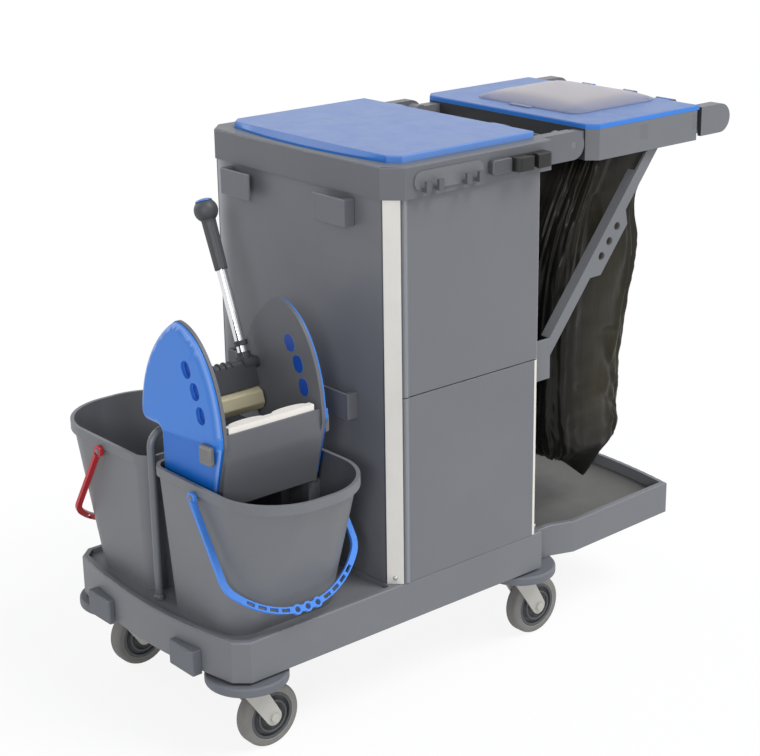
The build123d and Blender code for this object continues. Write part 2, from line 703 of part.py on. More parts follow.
def cheek_plan(inset=0.0):
    """Side view of a wringer cheek, drawn in by an inset: a leaf with a stepped foot."""
    foot = seat_z + inset
    top = seat_z + CHEEK_HEIGHT - inset
    shoulder = seat_z + CHEEK_SHOULDER + inset
    brow = seat_z + CHEEK_BROW
    front = inset - CHEEK_FRONT_REACH
    back = CHEEK_OVERHANG - inset
    with BuildSketch() as plan:
        with BuildLine():
            nose = EllipticalCenterArc(
                (-CHEEK_PEAK_SETBACK, brow),
                -CHEEK_PEAK_SETBACK - front,
                top - brow,
                start_angle=90,
                arc_size=90,
            )
            nape = TangentArc((back, shoulder), nose @ 0, tangent=(0, 1))
            Polyline(
                nose @ 1,
                (front + CHEEK_FOOT_SETBACK, foot),
                (-CHEEK_BACK_SETBACK - inset, foot),
                (-CHEEK_BACK_SETBACK - inset, shoulder),
                nape @ 0,
            )
        make_face()
        fillet(plan.vertices().sort_by(Axis.Y)[-1], CHEEK_PEAK_RADIUS - inset)
        corners = plan.vertices().filter_by(lambda v: foot + 1 < v.Y < shoulder + 1)
        fillet(corners, CHEEK_CORNER_RADIUS - inset)
    return plan.sketch


cheek_hole_places = [
    (-setback, seat_z + CHEEK_HEIGHT - drop, angle) for setback, drop, angle in CHEEK_HOLE_PLACES
]
with BuildPart() as wringer_frame:
    for side in (-1, 1):
        with BuildSketch(Plane.YZ.offset(bucket_x + side * (cheek_outer - CHEEK_THICKNESS / 2))):
            add(cheek_plan())
            for hole_y, hole_z, hole_angle in cheek_hole_places:
                with Locations((hole_y, hole_z)):
                    SlotOverall(
                        CHEEK_HOLE_LENGTH, CHEEK_HOLE_WIDTH, rotation=hole_angle, mode=Mode.SUBTRACT
                    )
            with Locations((shaft_y, shaft_z)):
                Circle(PRESS_SHAFT_DIAMETER / 2 + RUNNING_CLEARANCE, mode=Mode.SUBTRACT)
        extrude(amount=CHEEK_THICKNESS / 2, both=True)
    basin_front = front_wall_y + 3 * WRINGER_WALL
    basin_back = -CHEEK_BACK_SETBACK - WRINGER_WALL
    front_top = seat_z + WRINGER_FRONT_TOP
    with BuildSketch(Plane.YZ.offset(bucket_x)):
        with BuildLine():
            Polyline(
                (front_wall_y - WRINGER_WALL, front_top),
                (front_wall_y, front_top),
                (front_wall_y, front_top - WRINGER_FRONT_HEIGHT / 2),
                (basin_front + WRINGER_WALL, seat_z + 3 * WRINGER_WALL),
                (basin_back - WRINGER_WALL, seat_z + 2 * WRINGER_WALL),
                (basin_back - WRINGER_WALL, seat_z + WRINGER_BACK_HEIGHT),
                (basin_back, seat_z + WRINGER_BACK_HEIGHT),
                (basin_back, seat_z + WRINGER_WALL),
                (basin_front, seat_z + 2 * WRINGER_WALL),
                (front_wall_y - WRINGER_WALL, front_top - WRINGER_FRONT_HEIGHT / 2),
                close=True,
            )
        make_face()
    extrude(amount=cheek_inner + WRINGER_WALL / 2, both=True)
    with BuildSketch(Plane.XY.offset(seat_z)):
        with Locations((bucket_x, (basin_front + basin_back) / 2)):
            with GridLocations(0, (basin_back - basin_front) / (DRAIN_SLOTS + 1), 1, DRAIN_SLOTS):
                SlotOverall(DRAIN_SLOT_LENGTH, DRAIN_SLOT_WIDTH)
    extrude(amount=4 * WRINGER_WALL, mode=Mode.SUBTRACT)
write_piece(wringer_frame, "wringer_frame")

# Coloured covers on the outside of the cheeks, bevelled all round, plugged into the cheek's holes
cover_bottom = seat_z + COVER_FOOT_GAP
cover_face = bucket_x - wringer_half
with BuildPart() as cheek_cover_left:
    with BuildSketch(Plane.YZ.offset(cover_face)):
        add(cheek_plan(COVER_MARGIN))
        with Locations((-CHEEK_FRONT_REACH / 2, cover_bottom)):
            Rectangle(
                2 * CHEEK_FRONT_REACH,
                2 * CHEEK_HEIGHT,
                align=(Align.CENTER, Align.MIN),
                mode=Mode.INTERSECT,
            )
    extrude(amount=COVER_THICKNESS)
    cover_outside = cheek_cover_left.faces().sort_by(Axis.X)[0]
    chamfer(cover_outside.edges(), COVER_BEVEL_WIDTH, COVER_BEVEL_DEPTH, reference=cover_outside)
    with BuildSketch(Plane.YZ.offset(cover_face)):
        with Locations((-CHEEK_FRONT_REACH / 2, seat_z + CHEEK_SHOULDER)):
            Rectangle(2 * CHEEK_FRONT_REACH, CHEEK_HEIGHT, align=(Align.CENTER, Align.MAX))
    extrude(amount=COVER_STEP, mode=Mode.SUBTRACT)
    for hole_y, hole_z, hole_angle in cheek_hole_places:
        with BuildSketch(Plane.YZ.offset(cover_face + COVER_THICKNESS)):
            with Locations((hole_y, hole_z)):
                SlotOverall(
                    CHEEK_HOLE_LENGTH - 2 * RUNNING_CLEARANCE,
                    CHEEK_HOLE_WIDTH - 2 * RUNNING_CLEARANCE,
                    rotation=hole_angle,
                )
        extrude(amount=CHEEK_THICKNESS)
        with BuildSketch(Plane.YZ.offset(cover_face)):
            with Locations((hole_y, hole_z)):
                SlotOverall(
                    CHEEK_HOLE_LENGTH - COVER_MARGIN, CHEEK_HOLE_WIDTH - COVER_MARGIN, rotation=hole_angle
                )
        extrude(amount=CHEEK_THICKNESS, mode=Mode.SUBTRACT)
write_piece(cheek_cover_left, "cheek_cover_left")

with BuildPart() as cheek_cover_right:
    mirror(cheek_cover_left.part, about=Plane.YZ.offset(bucket_x))
write_piece(cheek_cover_right, "cheek_cover_right")

# Fixed jaw: a wavy bar along the inside of the front wall
with BuildPart() as fixed_jaw:
    jaw_length = 2 * (cheek_inner - 2 * WRINGER_WALL)
    lobe_pitch = jaw_length / JAW_LOBES
    with BuildSketch(Plane.XY.offset(front_top - JAW_HEIGHT / 2)):
        with Locations((bucket_x, front_wall_y)):
            Rectangle(jaw_length, JAW_DEPTH, align=(Align.CENTER, Align.MIN))
        with Locations((bucket_x, front_wall_y + JAW_DEPTH)):
            with GridLocations(lobe_pitch, 0, JAW_LOBES, 1):
                Ellipse(lobe_pitch / 2 - JAW_WAVE, JAW_WAVE)
    extrude(amount=JAW_HEIGHT)
write_piece(fixed_jaw, "fixed_jaw")

# Jaw end clips on the outside of both covers
with BuildPart() as jaw_clips:
    clip_y = front_wall_y + WRINGER_WALL + JAW_CLIP_WIDTH / 2
    for side in (-1, 1):
        with BuildSketch(Plane.YZ.offset(bucket_x + side * wringer_half)):
            with Locations((clip_y, front_top - JAW_CLIP_HEIGHT)):
                RectangleRounded(JAW_CLIP_WIDTH, JAW_CLIP_HEIGHT, WRINGER_WALL)
        extrude(amount=side * JAW_CLIP_PROUD)
    chamfer(
        jaw_clips.faces().filter_by(Axis.X).sort_by(Axis.X)[0].edges()
        + jaw_clips.faces().filter_by(Axis.X).sort_by(Axis.X)[-1].edges(),
        JAW_CLIP_CHAMFER,
    )
write_piece(jaw_clips, "jaw_clips")

# Press shaft with the pad holder and the lever socket
lever_plane = Plane(
    origin=(bucket_x + LEVER_OFFSET, shaft_y, shaft_z),
    x_dir=(1, 0, 0),
    z_dir=(0, sin(radians(LEVER_LEAN)), cos(radians(LEVER_LEAN))),
)
pad_half = cheek_inner - 3 * WRINGER_WALL
with BuildPart() as press_shaft:
    with BuildSketch(Plane.YZ.offset(bucket_x)):
        with Locations((shaft_y, shaft_z)):
            Circle(PRESS_SHAFT_DIAMETER / 2)
    extrude(amount=cheek_outer - SIDE_CLEARANCE, both=True)
    with BuildSketch(Plane.YZ.offset(bucket_x)):
        with Locations((shaft_y, shaft_z)):
            Rectangle(
                PRESS_ARM_REACH,
                PRESS_ARM_THICKNESS,
                rotation=180 + PRESS_ANGLE,
                align=(Align.MIN, Align.CENTER),
            )
    extrude(amount=pad_half, both=True)
    with BuildSketch(Plane.YZ.offset(bucket_x + LEVER_OFFSET)):
        with Locations((shaft_y, shaft_z)):
            Circle(LEVER_SOCKET_DIAMETER / 2 + LEVER_COLLAR)
    extrude(amount=LEVER_SOCKET_DIAMETER / 2, both=True)
    with BuildSketch(lever_plane):
        Circle(LEVER_SOCKET_DIAMETER / 2)
    extrude(amount=PRESS_SHAFT_DIAMETER / 2 + LEVER_SOCKET_LENGTH)
    with BuildSketch(lever_plane.offset(PRESS_SHAFT_DIAMETER / 2)):
        Circle(LEVER_TUBE_DIAMETER / 2)
    extrude(amount=LEVER_SOCKET_LENGTH, mode=Mode.SUBTRACT)
write_piece(press_shaft, "press_shaft")

# Press pad on the end of the holder
with BuildPart() as press_plate:
    with BuildSketch(Plane.YZ.offset(bucket_x)) as pad_view:
        with Locations(
            (
                shaft_y - PRESS_ARM_REACH * cos(radians(PRESS_ANGLE)),
                shaft_z - PRESS_ARM_REACH * sin(radians(PRESS_ANGLE)),
            )
        ):
            Rectangle(
                PRESS_PAD_REACH - PRESS_ARM_REACH,
                PRESS_PAD_THICKNESS,
                rotation=180 + PRESS_ANGLE,
                align=(Align.MIN, Align.CENTER),
            )
        chamfer(pad_view.vertices(), PRESS_PAD_CHAMFER)
    extrude(amount=pad_half, both=True)
write_piece(press_plate, "press_plate")

# Lever: a tube in the socket, a tapered grip with a ball end, and a cap on the ball
grip_start = PRESS_SHAFT_DIAMETER / 2 + LEVER_TUBE_LENGTH
grip_end = grip_start + LEVER_GRIP_LENGTH
with BuildPart() as lever_tube:
    with BuildSketch(lever_plane.offset(PRESS_SHAFT_DIAMETER / 2)):
        Circle(LEVER_TUBE_DIAMETER / 2)
    extrude(amount=LEVER_TUBE_LENGTH)
write_piece(lever_tube, "lever_tube")

with BuildPart() as lever_grip:
    ball_radius = LEVER_BALL_DIAMETER / 2
    ball_z = grip_end - ball_radius
    tube_radius = LEVER_TUBE_DIAMETER / 2
    neck_radius = LEVER_GRIP_DIAMETER / 2
    cap_z = grip_end - LEVER_CAP_HEIGHT
    foot_z = grip_start - LEVER_GRIP_LENGTH / 6
    with BuildSketch(
        Plane(
            origin=lever_plane.origin,
            x_dir=(1, 0, 0),
            z_dir=(0, -cos(radians(LEVER_LEAN)), sin(radians(LEVER_LEAN))),
        )
    ):
        with BuildLine():
            ball = ThreePointArc(
                (neck_radius, ball_z - (ball_radius**2 - neck_radius**2) ** 0.5),
                (ball_radius, ball_z),
                ((ball_radius**2 - (cap_z - ball_z) ** 2) ** 0.5, cap_z),
            )
            Polyline(
                ball @ 1,
                (0, cap_z),
                (0, grip_start),
                (tube_radius, grip_start),
                (tube_radius, foot_z),
                (tube_radius + LEVER_COLLAR, foot_z),
                ball @ 0,
            )
        make_face()
    revolve(axis=Axis(lever_plane.origin, lever_plane.z_dir))
write_piece(lever_grip, "lever_grip")

with BuildPart() as lever_cap:
    with BuildSketch(lever_plane.offset(grip_end - LEVER_CAP_HEIGHT)):
        Circle(LEVER_CAP_DIAMETER / 2)
    extrude(amount=LEVER_CAP_HEIGHT)
    fillet(lever_cap.edges().sort_by(Axis.Z)[-1], LEVER_CAP_HEIGHT - SIDE_CLEARANCE)
write_piece(lever_cap, "lever_cap")

# Cabinet corner posts: chamfered angles that grip the panel edges
cabinet_middle = cabinet_rear - cabinet_length / 2
panel_half = cabinet_half - POST_CHAMFER
with BuildPart() as corner_posts:
    with BuildSketch(Plane.XY.offset(base_top)):
        with BuildLine():
            Polyline(
                (cabinet_front, -panel_half),
                (cabinet_front + POST_CHAMFER, -cabinet_half),
                (cabinet_front + POST_CHAMFER, -cabinet_half + POST_DEPTH),
                (cabinet_front + POST_DEPTH, -cabinet_half + POST_DEPTH),
                (cabinet_front + POST_DEPTH, -panel_half),
                close=True,
            )
        make_face()
        mirror(about=Plane.XZ)
        mirror(about=Plane.YZ.offset(cabinet_middle))
    extrude(amount=CABINET_HEIGHT)
write_piece(corner_posts, "corner_posts")

# Front and rear panels between the posts
with BuildPart() as front_panel:
    with BuildSketch(Plane.XY.offset(base_top)):
        with Locations((cabinet_front + PANEL_THICKNESS / 2, 0)):
            Rectangle(PANEL_THICKNESS, 2 * panel_half)
    extrude(amount=CABINET_HEIGHT)
write_piece(front_panel, "front_panel")

with BuildPart() as rear_panel:
    with BuildSketch(Plane.XY.offset(base_top)):
        with Locations((cabinet_rear - PANEL_THICKNESS / 2, 0)):
            Rectangle(PANEL_THICKNESS, 2 * panel_half)
    extrude(amount=CABINET_HEIGHT)
write_piece(rear_panel, "rear_panel")


def side_panel_plan():
    """Plan of the near side panel with the bead close to its front edge."""
    panel_front = cabinet_front + POST_CHAMFER
    with BuildSketch() as plan:
        with Locations((cabinet_middle, -cabinet_half + PANEL_THICKNESS / 2)):
            Rectangle(cabinet_length - 2 * POST_CHAMFER, PANEL_THICKNESS)
        with Locations((panel_front + PANEL_BEAD_INSET, -cabinet_half + PANEL_THICKNESS / 2)):
            Circle(PANEL_BEAD_DIAMETER / 2)
    return plan.sketch


# Side panels: an upper and a lower one on each side
lower_height = PANEL_SPLIT_HEIGHT - PANEL_SPLIT_GAP
with BuildPart() as side_panel_lower_near:
    with BuildSketch(Plane.XY.offset(base_top)):
        add(side_panel_plan())
    extrude(amount=lower_height)
write_piece(side_panel_lower_near, "side_panel_lower_near")

with BuildPart() as side_panel_lower_far:
    mirror(side_panel_lower_near.part, about=Plane.XZ)
write_piece(side_panel_lower_far, "side_panel_lower_far")

with BuildPart() as side_panel_upper_near:
    with BuildSketch(Plane.XY.offset(base_top + PANEL_SPLIT_HEIGHT)):
        add(side_panel_plan())
    extrude(amount=CABINET_HEIGHT - PANEL_SPLIT_HEIGHT)
write_piece(side_panel_upper_near, "side_panel_upper_near")

with BuildPart() as side_panel_upper_far:
    mirror(side_panel_upper_near.part, about=Plane.XZ)
write_piece(side_panel_upper_far, "side_panel_upper_far")

# Screw heads on the chamfers at the feet of the posts
with BuildPart() as post_screws:
    for end_x, way in ((cabinet_front, -1), (cabinet_rear, 1)):
        for side in (-1, 1):
            screw_plane = Plane(
                origin=(
                    end_x - way * POST_CHAMFER / 2,
                    side * (cabinet_half - POST_CHAMFER / 2),
                    base_top + SCREW_HEIGHT,
                ),
                x_dir=(0, 0, 1),
                z_dir=(way, side, 0),
            )
            with BuildSketch(screw_plane):
                Circle(SCREW_HEAD_DIAMETER / 2)
            extrude(amount=SCREW_HEAD_HEIGHT)
write_piece(post_screws, "post_screws")

# Board holders: hooked plates standing off the front panel, two at the top and two lower
with BuildPart() as panel_holders:
    for drop in (HOLDER_UPPER_DROP, HOLDER_LOWER_DROP):
        for side, edge in ((-1, HOLDER_NEAR_EDGE), (1, HOLDER_FAR_EDGE)):
            with BuildSketch(Plane.XY.offset(cabinet_top - drop - HOLDER_HEIGHT / 2)) as holder:
                with Locations((cabinet_front - HOLDER_DEPTH / 2, side * (edge - HOLDER_WIDTH / 2))):
                    Rectangle(HOLDER_DEPTH, HOLDER_WIDTH)
                fillet(holder.vertices().group_by(Axis.X)[0], HOLDER_PLATE / 2)
                with Locations(
                    (
                        cabinet_front - (HOLDER_DEPTH - HOLDER_PLATE) / 2,
                        side * (edge - HOLDER_LIP - HOLDER_WIDTH / 2),
                    )
                ):
                    Rectangle(HOLDER_DEPTH - HOLDER_PLATE, HOLDER_WIDTH, mode=Mode.SUBTRACT)
            extrude(amount=HOLDER_HEIGHT)
write_piece(panel_holders, "panel_holders")

# Lid stations on the collar
collar_front = cabinet_front - COLLAR_PROUD
lid_front = collar_front + LID_FRONT_MARGIN
lid_rear = cabinet_rear - LID_REAR_MARGIN
lid_half = collar_half - LID_SIDE_MARGIN
lid_top = collar_top + LID_PROUD
lid_bottom = collar_top - LEDGE_DEPTH
lid_hinge_x = lid_rear + KNUCKLE_REACH
lid_hinge_z = collar_top + KNUCKLE_LIFT + KNUCKLE_DIAMETER / 2
knuckle_places = [-KNUCKLE_SPACING / 2, KNUCKLE_SPACING / 2]
ear_step = KNUCKLE_WIDTH / 2 + KNUCKLE_SIDE_GAP + KNUCKLE_EAR / 2
ear_places = [middle + side * ear_step for middle in knuckle_places for side in (-1, 1)]
pin_half = ear_step + KNUCKLE_EAR / 2


def bowed_plan(front, rear, half, corner, bow, inset=0.0):
    """Plan with a bowed front, chamfered front corners and a square rear, drawn in by an inset."""
    with BuildSketch() as plan:
        with BuildLine():
            nose = ThreePointArc((front, corner - half), (front - bow, 0), (front, half - corner))
            Polyline(
                nose @ 1,
                (front + corner, half),
                (rear, half),
                (rear, -half),
                (front + corner, -half),
                nose @ 0,
            )
        make_face()
        if inset:
            offset(amount=-inset, kind=Kind.INTERSECTION)
    return plan.sketch


def collar_plan(inset=0.0):
    """Plan of the top collar."""
    return bowed_plan(collar_front, cabinet_rear, collar_half, COLLAR_CHAMFER, COLLAR_BOW, inset)


def lid_plan(inset=0.0, bow=LID_BOW):
    """Plan of the cabinet lid, which bows out at its lip and less at its top."""
    return bowed_plan(lid_front, lid_rear, lid_half, LID_CORNER, bow, inset)


def ear_profile(x, z, foot_z, diameter, bore):
    """Side view of a hinge ear that stands on a face, with its pin bore."""
    with BuildSketch() as profile:
        with Locations((x, z)):
            Circle(diameter / 2)
        with Locations((x, foot_z)):
            Rectangle(diameter, SIDE_CLEARANCE, align=(Align.CENTER, Align.MIN))
        make_hull()
        with Locations((x, z)):
            Circle(bore / 2, mode=Mode.SUBTRACT)
    return profile.sketch


# Top collar: hollow rim that carries the lid, with the rear trough and the hinge arms
arm_inner = arm_outer - ARM_THICKNESS
trough_rear = cabinet_rear + TROUGH_LENGTH
with BuildPart() as top_collar:
    with BuildSketch(Plane.XY.offset(cabinet_top)):
        add(collar_plan())
    extrude(amount=COLLAR_HEIGHT)
    fillet(top_collar.faces().sort_by(Axis.Z)[-1].edges(), COLLAR_EDGE_RADIUS)
    with BuildSketch(Plane.XY.offset(cabinet_top + TROUGH_WALL)):
        add(collar_plan(COLLAR_WALL))
    extrude(amount=COLLAR_HEIGHT - COLLAR_RIM - TROUGH_WALL, mode=Mode.SUBTRACT)
    with BuildSketch(Plane.XY.offset(cabinet_top)):
        add(collar_plan(COLLAR_FLANGE + COLLAR_WALL))
    extrude(amount=TROUGH_WALL, mode=Mode.SUBTRACT)
    with BuildSketch(Plane.XY.offset(lid_bottom - COLLAR_RIM)):
        add(lid_plan(-LID_CLEARANCE - COLLAR_WALL / 2))
        add(lid_plan(LEDGE_WIDTH), mode=Mode.SUBTRACT)
    extrude(amount=collar_top - COLLAR_RIM - lid_bottom + COLLAR_RIM)
    with BuildSketch(Plane.XY.offset(lid_bottom)):
        add(lid_plan(-LID_CLEARANCE))
    extrude(amount=COLLAR_HEIGHT, mode=Mode.SUBTRACT)
    for side in (-1, 1):
        with BuildSketch(Plane.XZ.offset(-side * (arm_inner + arm_outer) / 2)):
            with Locations((cabinet_rear, cabinet_top)):
                Rectangle(HINGE_REACH, 2 * HINGE_HEIGHT, align=Align.MIN)
            with Locations((hinge_x, hinge_z)):
                Circle(HINGE_HEIGHT)
                Circle(FRAME_PIN_DIAMETER / 2, mode=Mode.SUBTRACT)
        extrude(amount=ARM_THICKNESS / 2, both=True)
    with BuildSketch(Plane.XZ):
        with Locations((cabinet_rear, cabinet_top)):
            Rectangle(TROUGH_LENGTH, TROUGH_WALL, align=Align.MIN)
        with Locations((trough_rear, cabinet_top)):
            Rectangle(TROUGH_WALL, TROUGH_DEPTH, align=(Align.MAX, Align.MIN))
    extrude(amount=arm_inner, both=True)
    for ear_y in ear_places:
        with BuildSketch(Plane.XZ.offset(-ear_y)):
            add(ear_profile(lid_hinge_x, lid_hinge_z, collar_top, KNUCKLE_DIAMETER, LID_PIN_DIAMETER))
        extrude(amount=KNUCKLE_EAR / 2, both=True)
write_piece(top_collar, "top_collar")

# Hinge pins of the cabinet lid and of the bag frame
with BuildPart() as lid_pins:
    for middle in knuckle_places:
        with BuildSketch(Plane.XZ.offset(-middle)):
            with Locations((lid_hinge_x, lid_hinge_z)):
                Circle(LID_PIN_DIAMETER / 2)
        extrude(amount=pin_half, both=True)
write_piece(lid_pins, "lid_pins")

lug_outer = arm_inner - LUG_SIDE_GAP
lug_inner = lug_outer - LUG_WIDTH
with BuildPart() as frame_pins:
    for side in (-1, 1):
        with BuildSketch(Plane.XZ.offset(-side * arm_outer)):
            with Locations((hinge_x, hinge_z)):
                Circle(FRAME_PIN_DIAMETER / 2)
        extrude(amount=side * (arm_outer - lug_inner))
write_piece(frame_pins, "frame_pins")

# Cabinet lid: shallow tray upside down, with knuckles behind and a lip that slopes down in front
lip_top = collar_top + LID_LIP_HEIGHT
with BuildPart() as cabinet_lid:
    with BuildSketch(Plane.XY.offset(lid_bottom)):
        add(lid_plan())
    extrude(amount=lip_top - lid_bottom)
    with BuildSketch(Plane.XY.offset(lip_top)):
        add(lid_plan())
    with BuildSketch(Plane.XY.offset(lid_top)):
        add(lid_plan(bow=LID_TOP_BOW))
    loft(ruled=True)
    fillet(cabinet_lid.faces().sort_by(Axis.Z)[-1].edges(), LID_EDGE_RADIUS)
    with BuildSketch(Plane.XY.offset(lid_bottom)):
        add(lid_plan(LID_SKIRT, LID_TOP_BOW))
    extrude(amount=lid_top - lid_bottom - LID_SKIN, mode=Mode.SUBTRACT)
    for middle in knuckle_places:
        with BuildSketch(Plane.XZ.offset(-middle)):
            with Locations((lid_hinge_x, lid_hinge_z)):
                Circle(KNUCKLE_DIAMETER / 2)
            with Locations((lid_hinge_x, lid_hinge_z + KNUCKLE_DIAMETER / 2)):
                Rectangle(KNUCKLE_REACH + LID_EDGE_RADIUS + LID_SKIRT, LID_SKIN, align=Align.MAX)
            with Locations((lid_hinge_x, lid_hinge_z)):
                Circle(LID_PIN_DIAMETER / 2 + RUNNING_CLEARANCE, mode=Mode.SUBTRACT)
        extrude(amount=KNUCKLE_WIDTH / 2, both=True)
write_piece(cabinet_lid, "cabinet_lid")

# Hooks on the collar's near side
collar_face = -collar_half
with BuildPart() as hook_plate:
    plate_middle = collar_front + HOOK_PLATE_START + HOOK_PLATE_LENGTH / 2
    plate_z = cabinet_top + COLLAR_HEIGHT / 2
    with BuildSketch(Plane.XZ.offset(-collar_face)):
        with Locations((plate_middle, plate_z)):
            SlotOverall(HOOK_PLATE_LENGTH, HOOK_PLATE_HEIGHT)
    extrude(amount=HOOK_PLATE_THICKNESS)
    hook_face = collar_face - HOOK_PLATE_THICKNESS
    for pair in (-1, 1):
        for prong in (-1, 1):
            prong_x = plate_middle + pair * HOOK_PAIR_SPACING / 2 + prong * HOOK_PRONG_SPACING / 2
            with BuildSketch(Plane.YZ.offset(prong_x)):
                with Locations((hook_face, plate_z - HOOK_PLATE_HEIGHT / 2)):
                    Rectangle(HOOK_REACH, HOOK_BAR, align=(Align.MAX, Align.MIN))
                with Locations((hook_face - HOOK_REACH, plate_z - HOOK_PLATE_HEIGHT / 2)):
                    Rectangle(HOOK_BAR, HOOK_RISE, align=(Align.MIN, Align.MIN))
            extrude(amount=HOOK_BAR, both=True)
write_piece(hook_plate, "hook_plate")

# Handle clip beside the hooks: a base block and an open jaw
clip_x = collar_front + CLIP_START
with BuildPart() as clip_bracket:
    with BuildSketch(Plane.XZ.offset(-collar_face)):
        with Locations((clip_x + CLIP_BASE_LENGTH / 2, plate_z)):
            RectangleRounded(CLIP_BASE_LENGTH, CLIP_BASE_HEIGHT, HOOK_BAR)
    extrude(amount=CLIP_BASE_DEPTH)
write_piece(clip_bracket, "clip_bracket")

with BuildPart() as clip_jaw:
    jaw_middle = clip_x + CLIP_BASE_LENGTH + CLIP_JAW_LENGTH / 2
    with BuildSketch(Plane.XY.offset(plate_z - CLIP_JAW_HEIGHT / 2)) as jaw_view:
        with Locations((jaw_middle, collar_face - CLIP_JAW_DEPTH / 2)):
            Rectangle(CLIP_JAW_LENGTH, CLIP_JAW_DEPTH)
        fillet(jaw_view.vertices().group_by(Axis.Y)[0], CLIP_JAW_SLOT)
        with Locations((jaw_middle, collar_face - CLIP_JAW_DEPTH / 2)):
            Circle(CLIP_JAW_SLOT - SIDE_CLEARANCE, mode=Mode.SUBTRACT)
        with Locations((jaw_middle, collar_face - CLIP_JAW_DEPTH / 2)):
            Rectangle(
                CLIP_JAW_SLOT, CLIP_JAW_DEPTH, align=(Align.CENTER, Align.MAX), mode=Mode.SUBTRACT
            )
    extrude(amount=CLIP_JAW_HEIGHT)
write_piece(clip_jaw, "clip_jaw")

# Bag frame: ring of channel open below, hinge lugs, handle arms and ears for the bag lid
frame_middle = frame_front + FRAME_LENGTH / 2
handle_z = frame_top + HANDLE_END_LIFT - HANDLE_END_DIAMETER / 2 - SWIVEL_GAP
bag_lid_rear = frame_rear - FRAME_WALL - KNUCKLE_REACH
bag_hinge_x = bag_lid_rear + KNUCKLE_REACH
bag_hinge_z = frame_top + KNUCKLE_LIFT + KNUCKLE_DIAMETER / 2
channel_middle = frame_half - FRAME_BAR / 2


def frame_plan(inset=0.0):
    """Plan of the bag frame's outer edge, drawn in by an inset."""
    with BuildSketch() as plan:
        with Locations((frame_middle, 0)):
            Rectangle(FRAME_LENGTH, 2 * frame_half)
        chamfer(plan.vertices(), FRAME_CORNER)
        if inset:
            offset(amount=-inset, kind=Kind.INTERSECTION)
    return plan.sketch


with BuildPart() as bag_frame:
    with BuildSketch(Plane.XY.offset(frame_bottom)):
        add(frame_plan())
        add(frame_plan(FRAME_BAR), mode=Mode.SUBTRACT)
    extrude(amount=FRAME_HEIGHT)
    with BuildSketch(Plane.XY.offset(frame_bottom)):
        add(frame_plan(FRAME_WALL))
        add(frame_plan(FRAME_BAR - FRAME_WALL), mode=Mode.SUBTRACT)
    extrude(amount=FRAME_HEIGHT - FRAME_WALL, mode=Mode.SUBTRACT)
    for side in (-1, 1):
        with BuildSketch(Plane.XZ.offset(-side * (frame_half - HANDLE_ARM / 2))):
            with Locations((handle_x, handle_z)):
                Circle(HANDLE_END_DIAMETER / 2)
            with Locations((frame_rear, handle_z)):
                Rectangle(2 * FRAME_WALL, HANDLE_END_DIAMETER)
            make_hull()
        extrude(amount=HANDLE_ARM / 2, both=True)
        with BuildSketch(Plane.XZ.offset(-side * (lug_inner + lug_outer) / 2)):
            with Locations((hinge_x, hinge_z)):
                Circle(LUG_DIAMETER / 2)
                Rectangle(FRAME_GAP + FRAME_WALL, LUG_HEIGHT, align=(Align.MIN, Align.CENTER))
                Circle(FRAME_PIN_DIAMETER / 2 + RUNNING_CLEARANCE, mode=Mode.SUBTRACT)
        extrude(amount=LUG_WIDTH / 2, both=True)
        with BuildSketch(Plane.XY.offset(frame_bottom - FRAME_HEIGHT)):
            with Locations((frame_rear - FRAME_CORNER, side * channel_middle)):
                Rectangle(2 * HANDLE_REACH, HANDLE_SLOT, align=(Align.MIN, Align.CENTER))
        extrude(amount=2 * FRAME_HEIGHT - HANDLE_SLOT_ROOF, mode=Mode.SUBTRACT)
    for ear_y in ear_places:
        with BuildSketch(Plane.XZ.offset(-ear_y)):
            add(ear_profile(bag_hinge_x, bag_hinge_z, frame_top, KNUCKLE_DIAMETER, LID_PIN_DIAMETER))
        extrude(amount=KNUCKLE_EAR / 2, both=True)
write_piece(bag_frame, "bag_frame")

# Push handle: round bar between the arms
with BuildPart() as push_handle:
    with BuildSketch(Plane.XZ):
        with Locations((handle_x, handle_z)):
            Circle(HANDLE_GRIP_DIAMETER / 2)
    extrude(amount=frame_half - HANDLE_ARM, both=True)
write_piece(push_handle, "push_handle")

with BuildPart() as bag_lid_pins:
    for middle in knuckle_places:
        with BuildSketch(Plane.XZ.offset(-middle)):
            with Locations((bag_hinge_x, bag_hinge_z)):
                Circle(LID_PIN_DIAMETER / 2)
        extrude(amount=pin_half, both=True)
write_piece(bag_lid_pins, "bag_lid_pins")

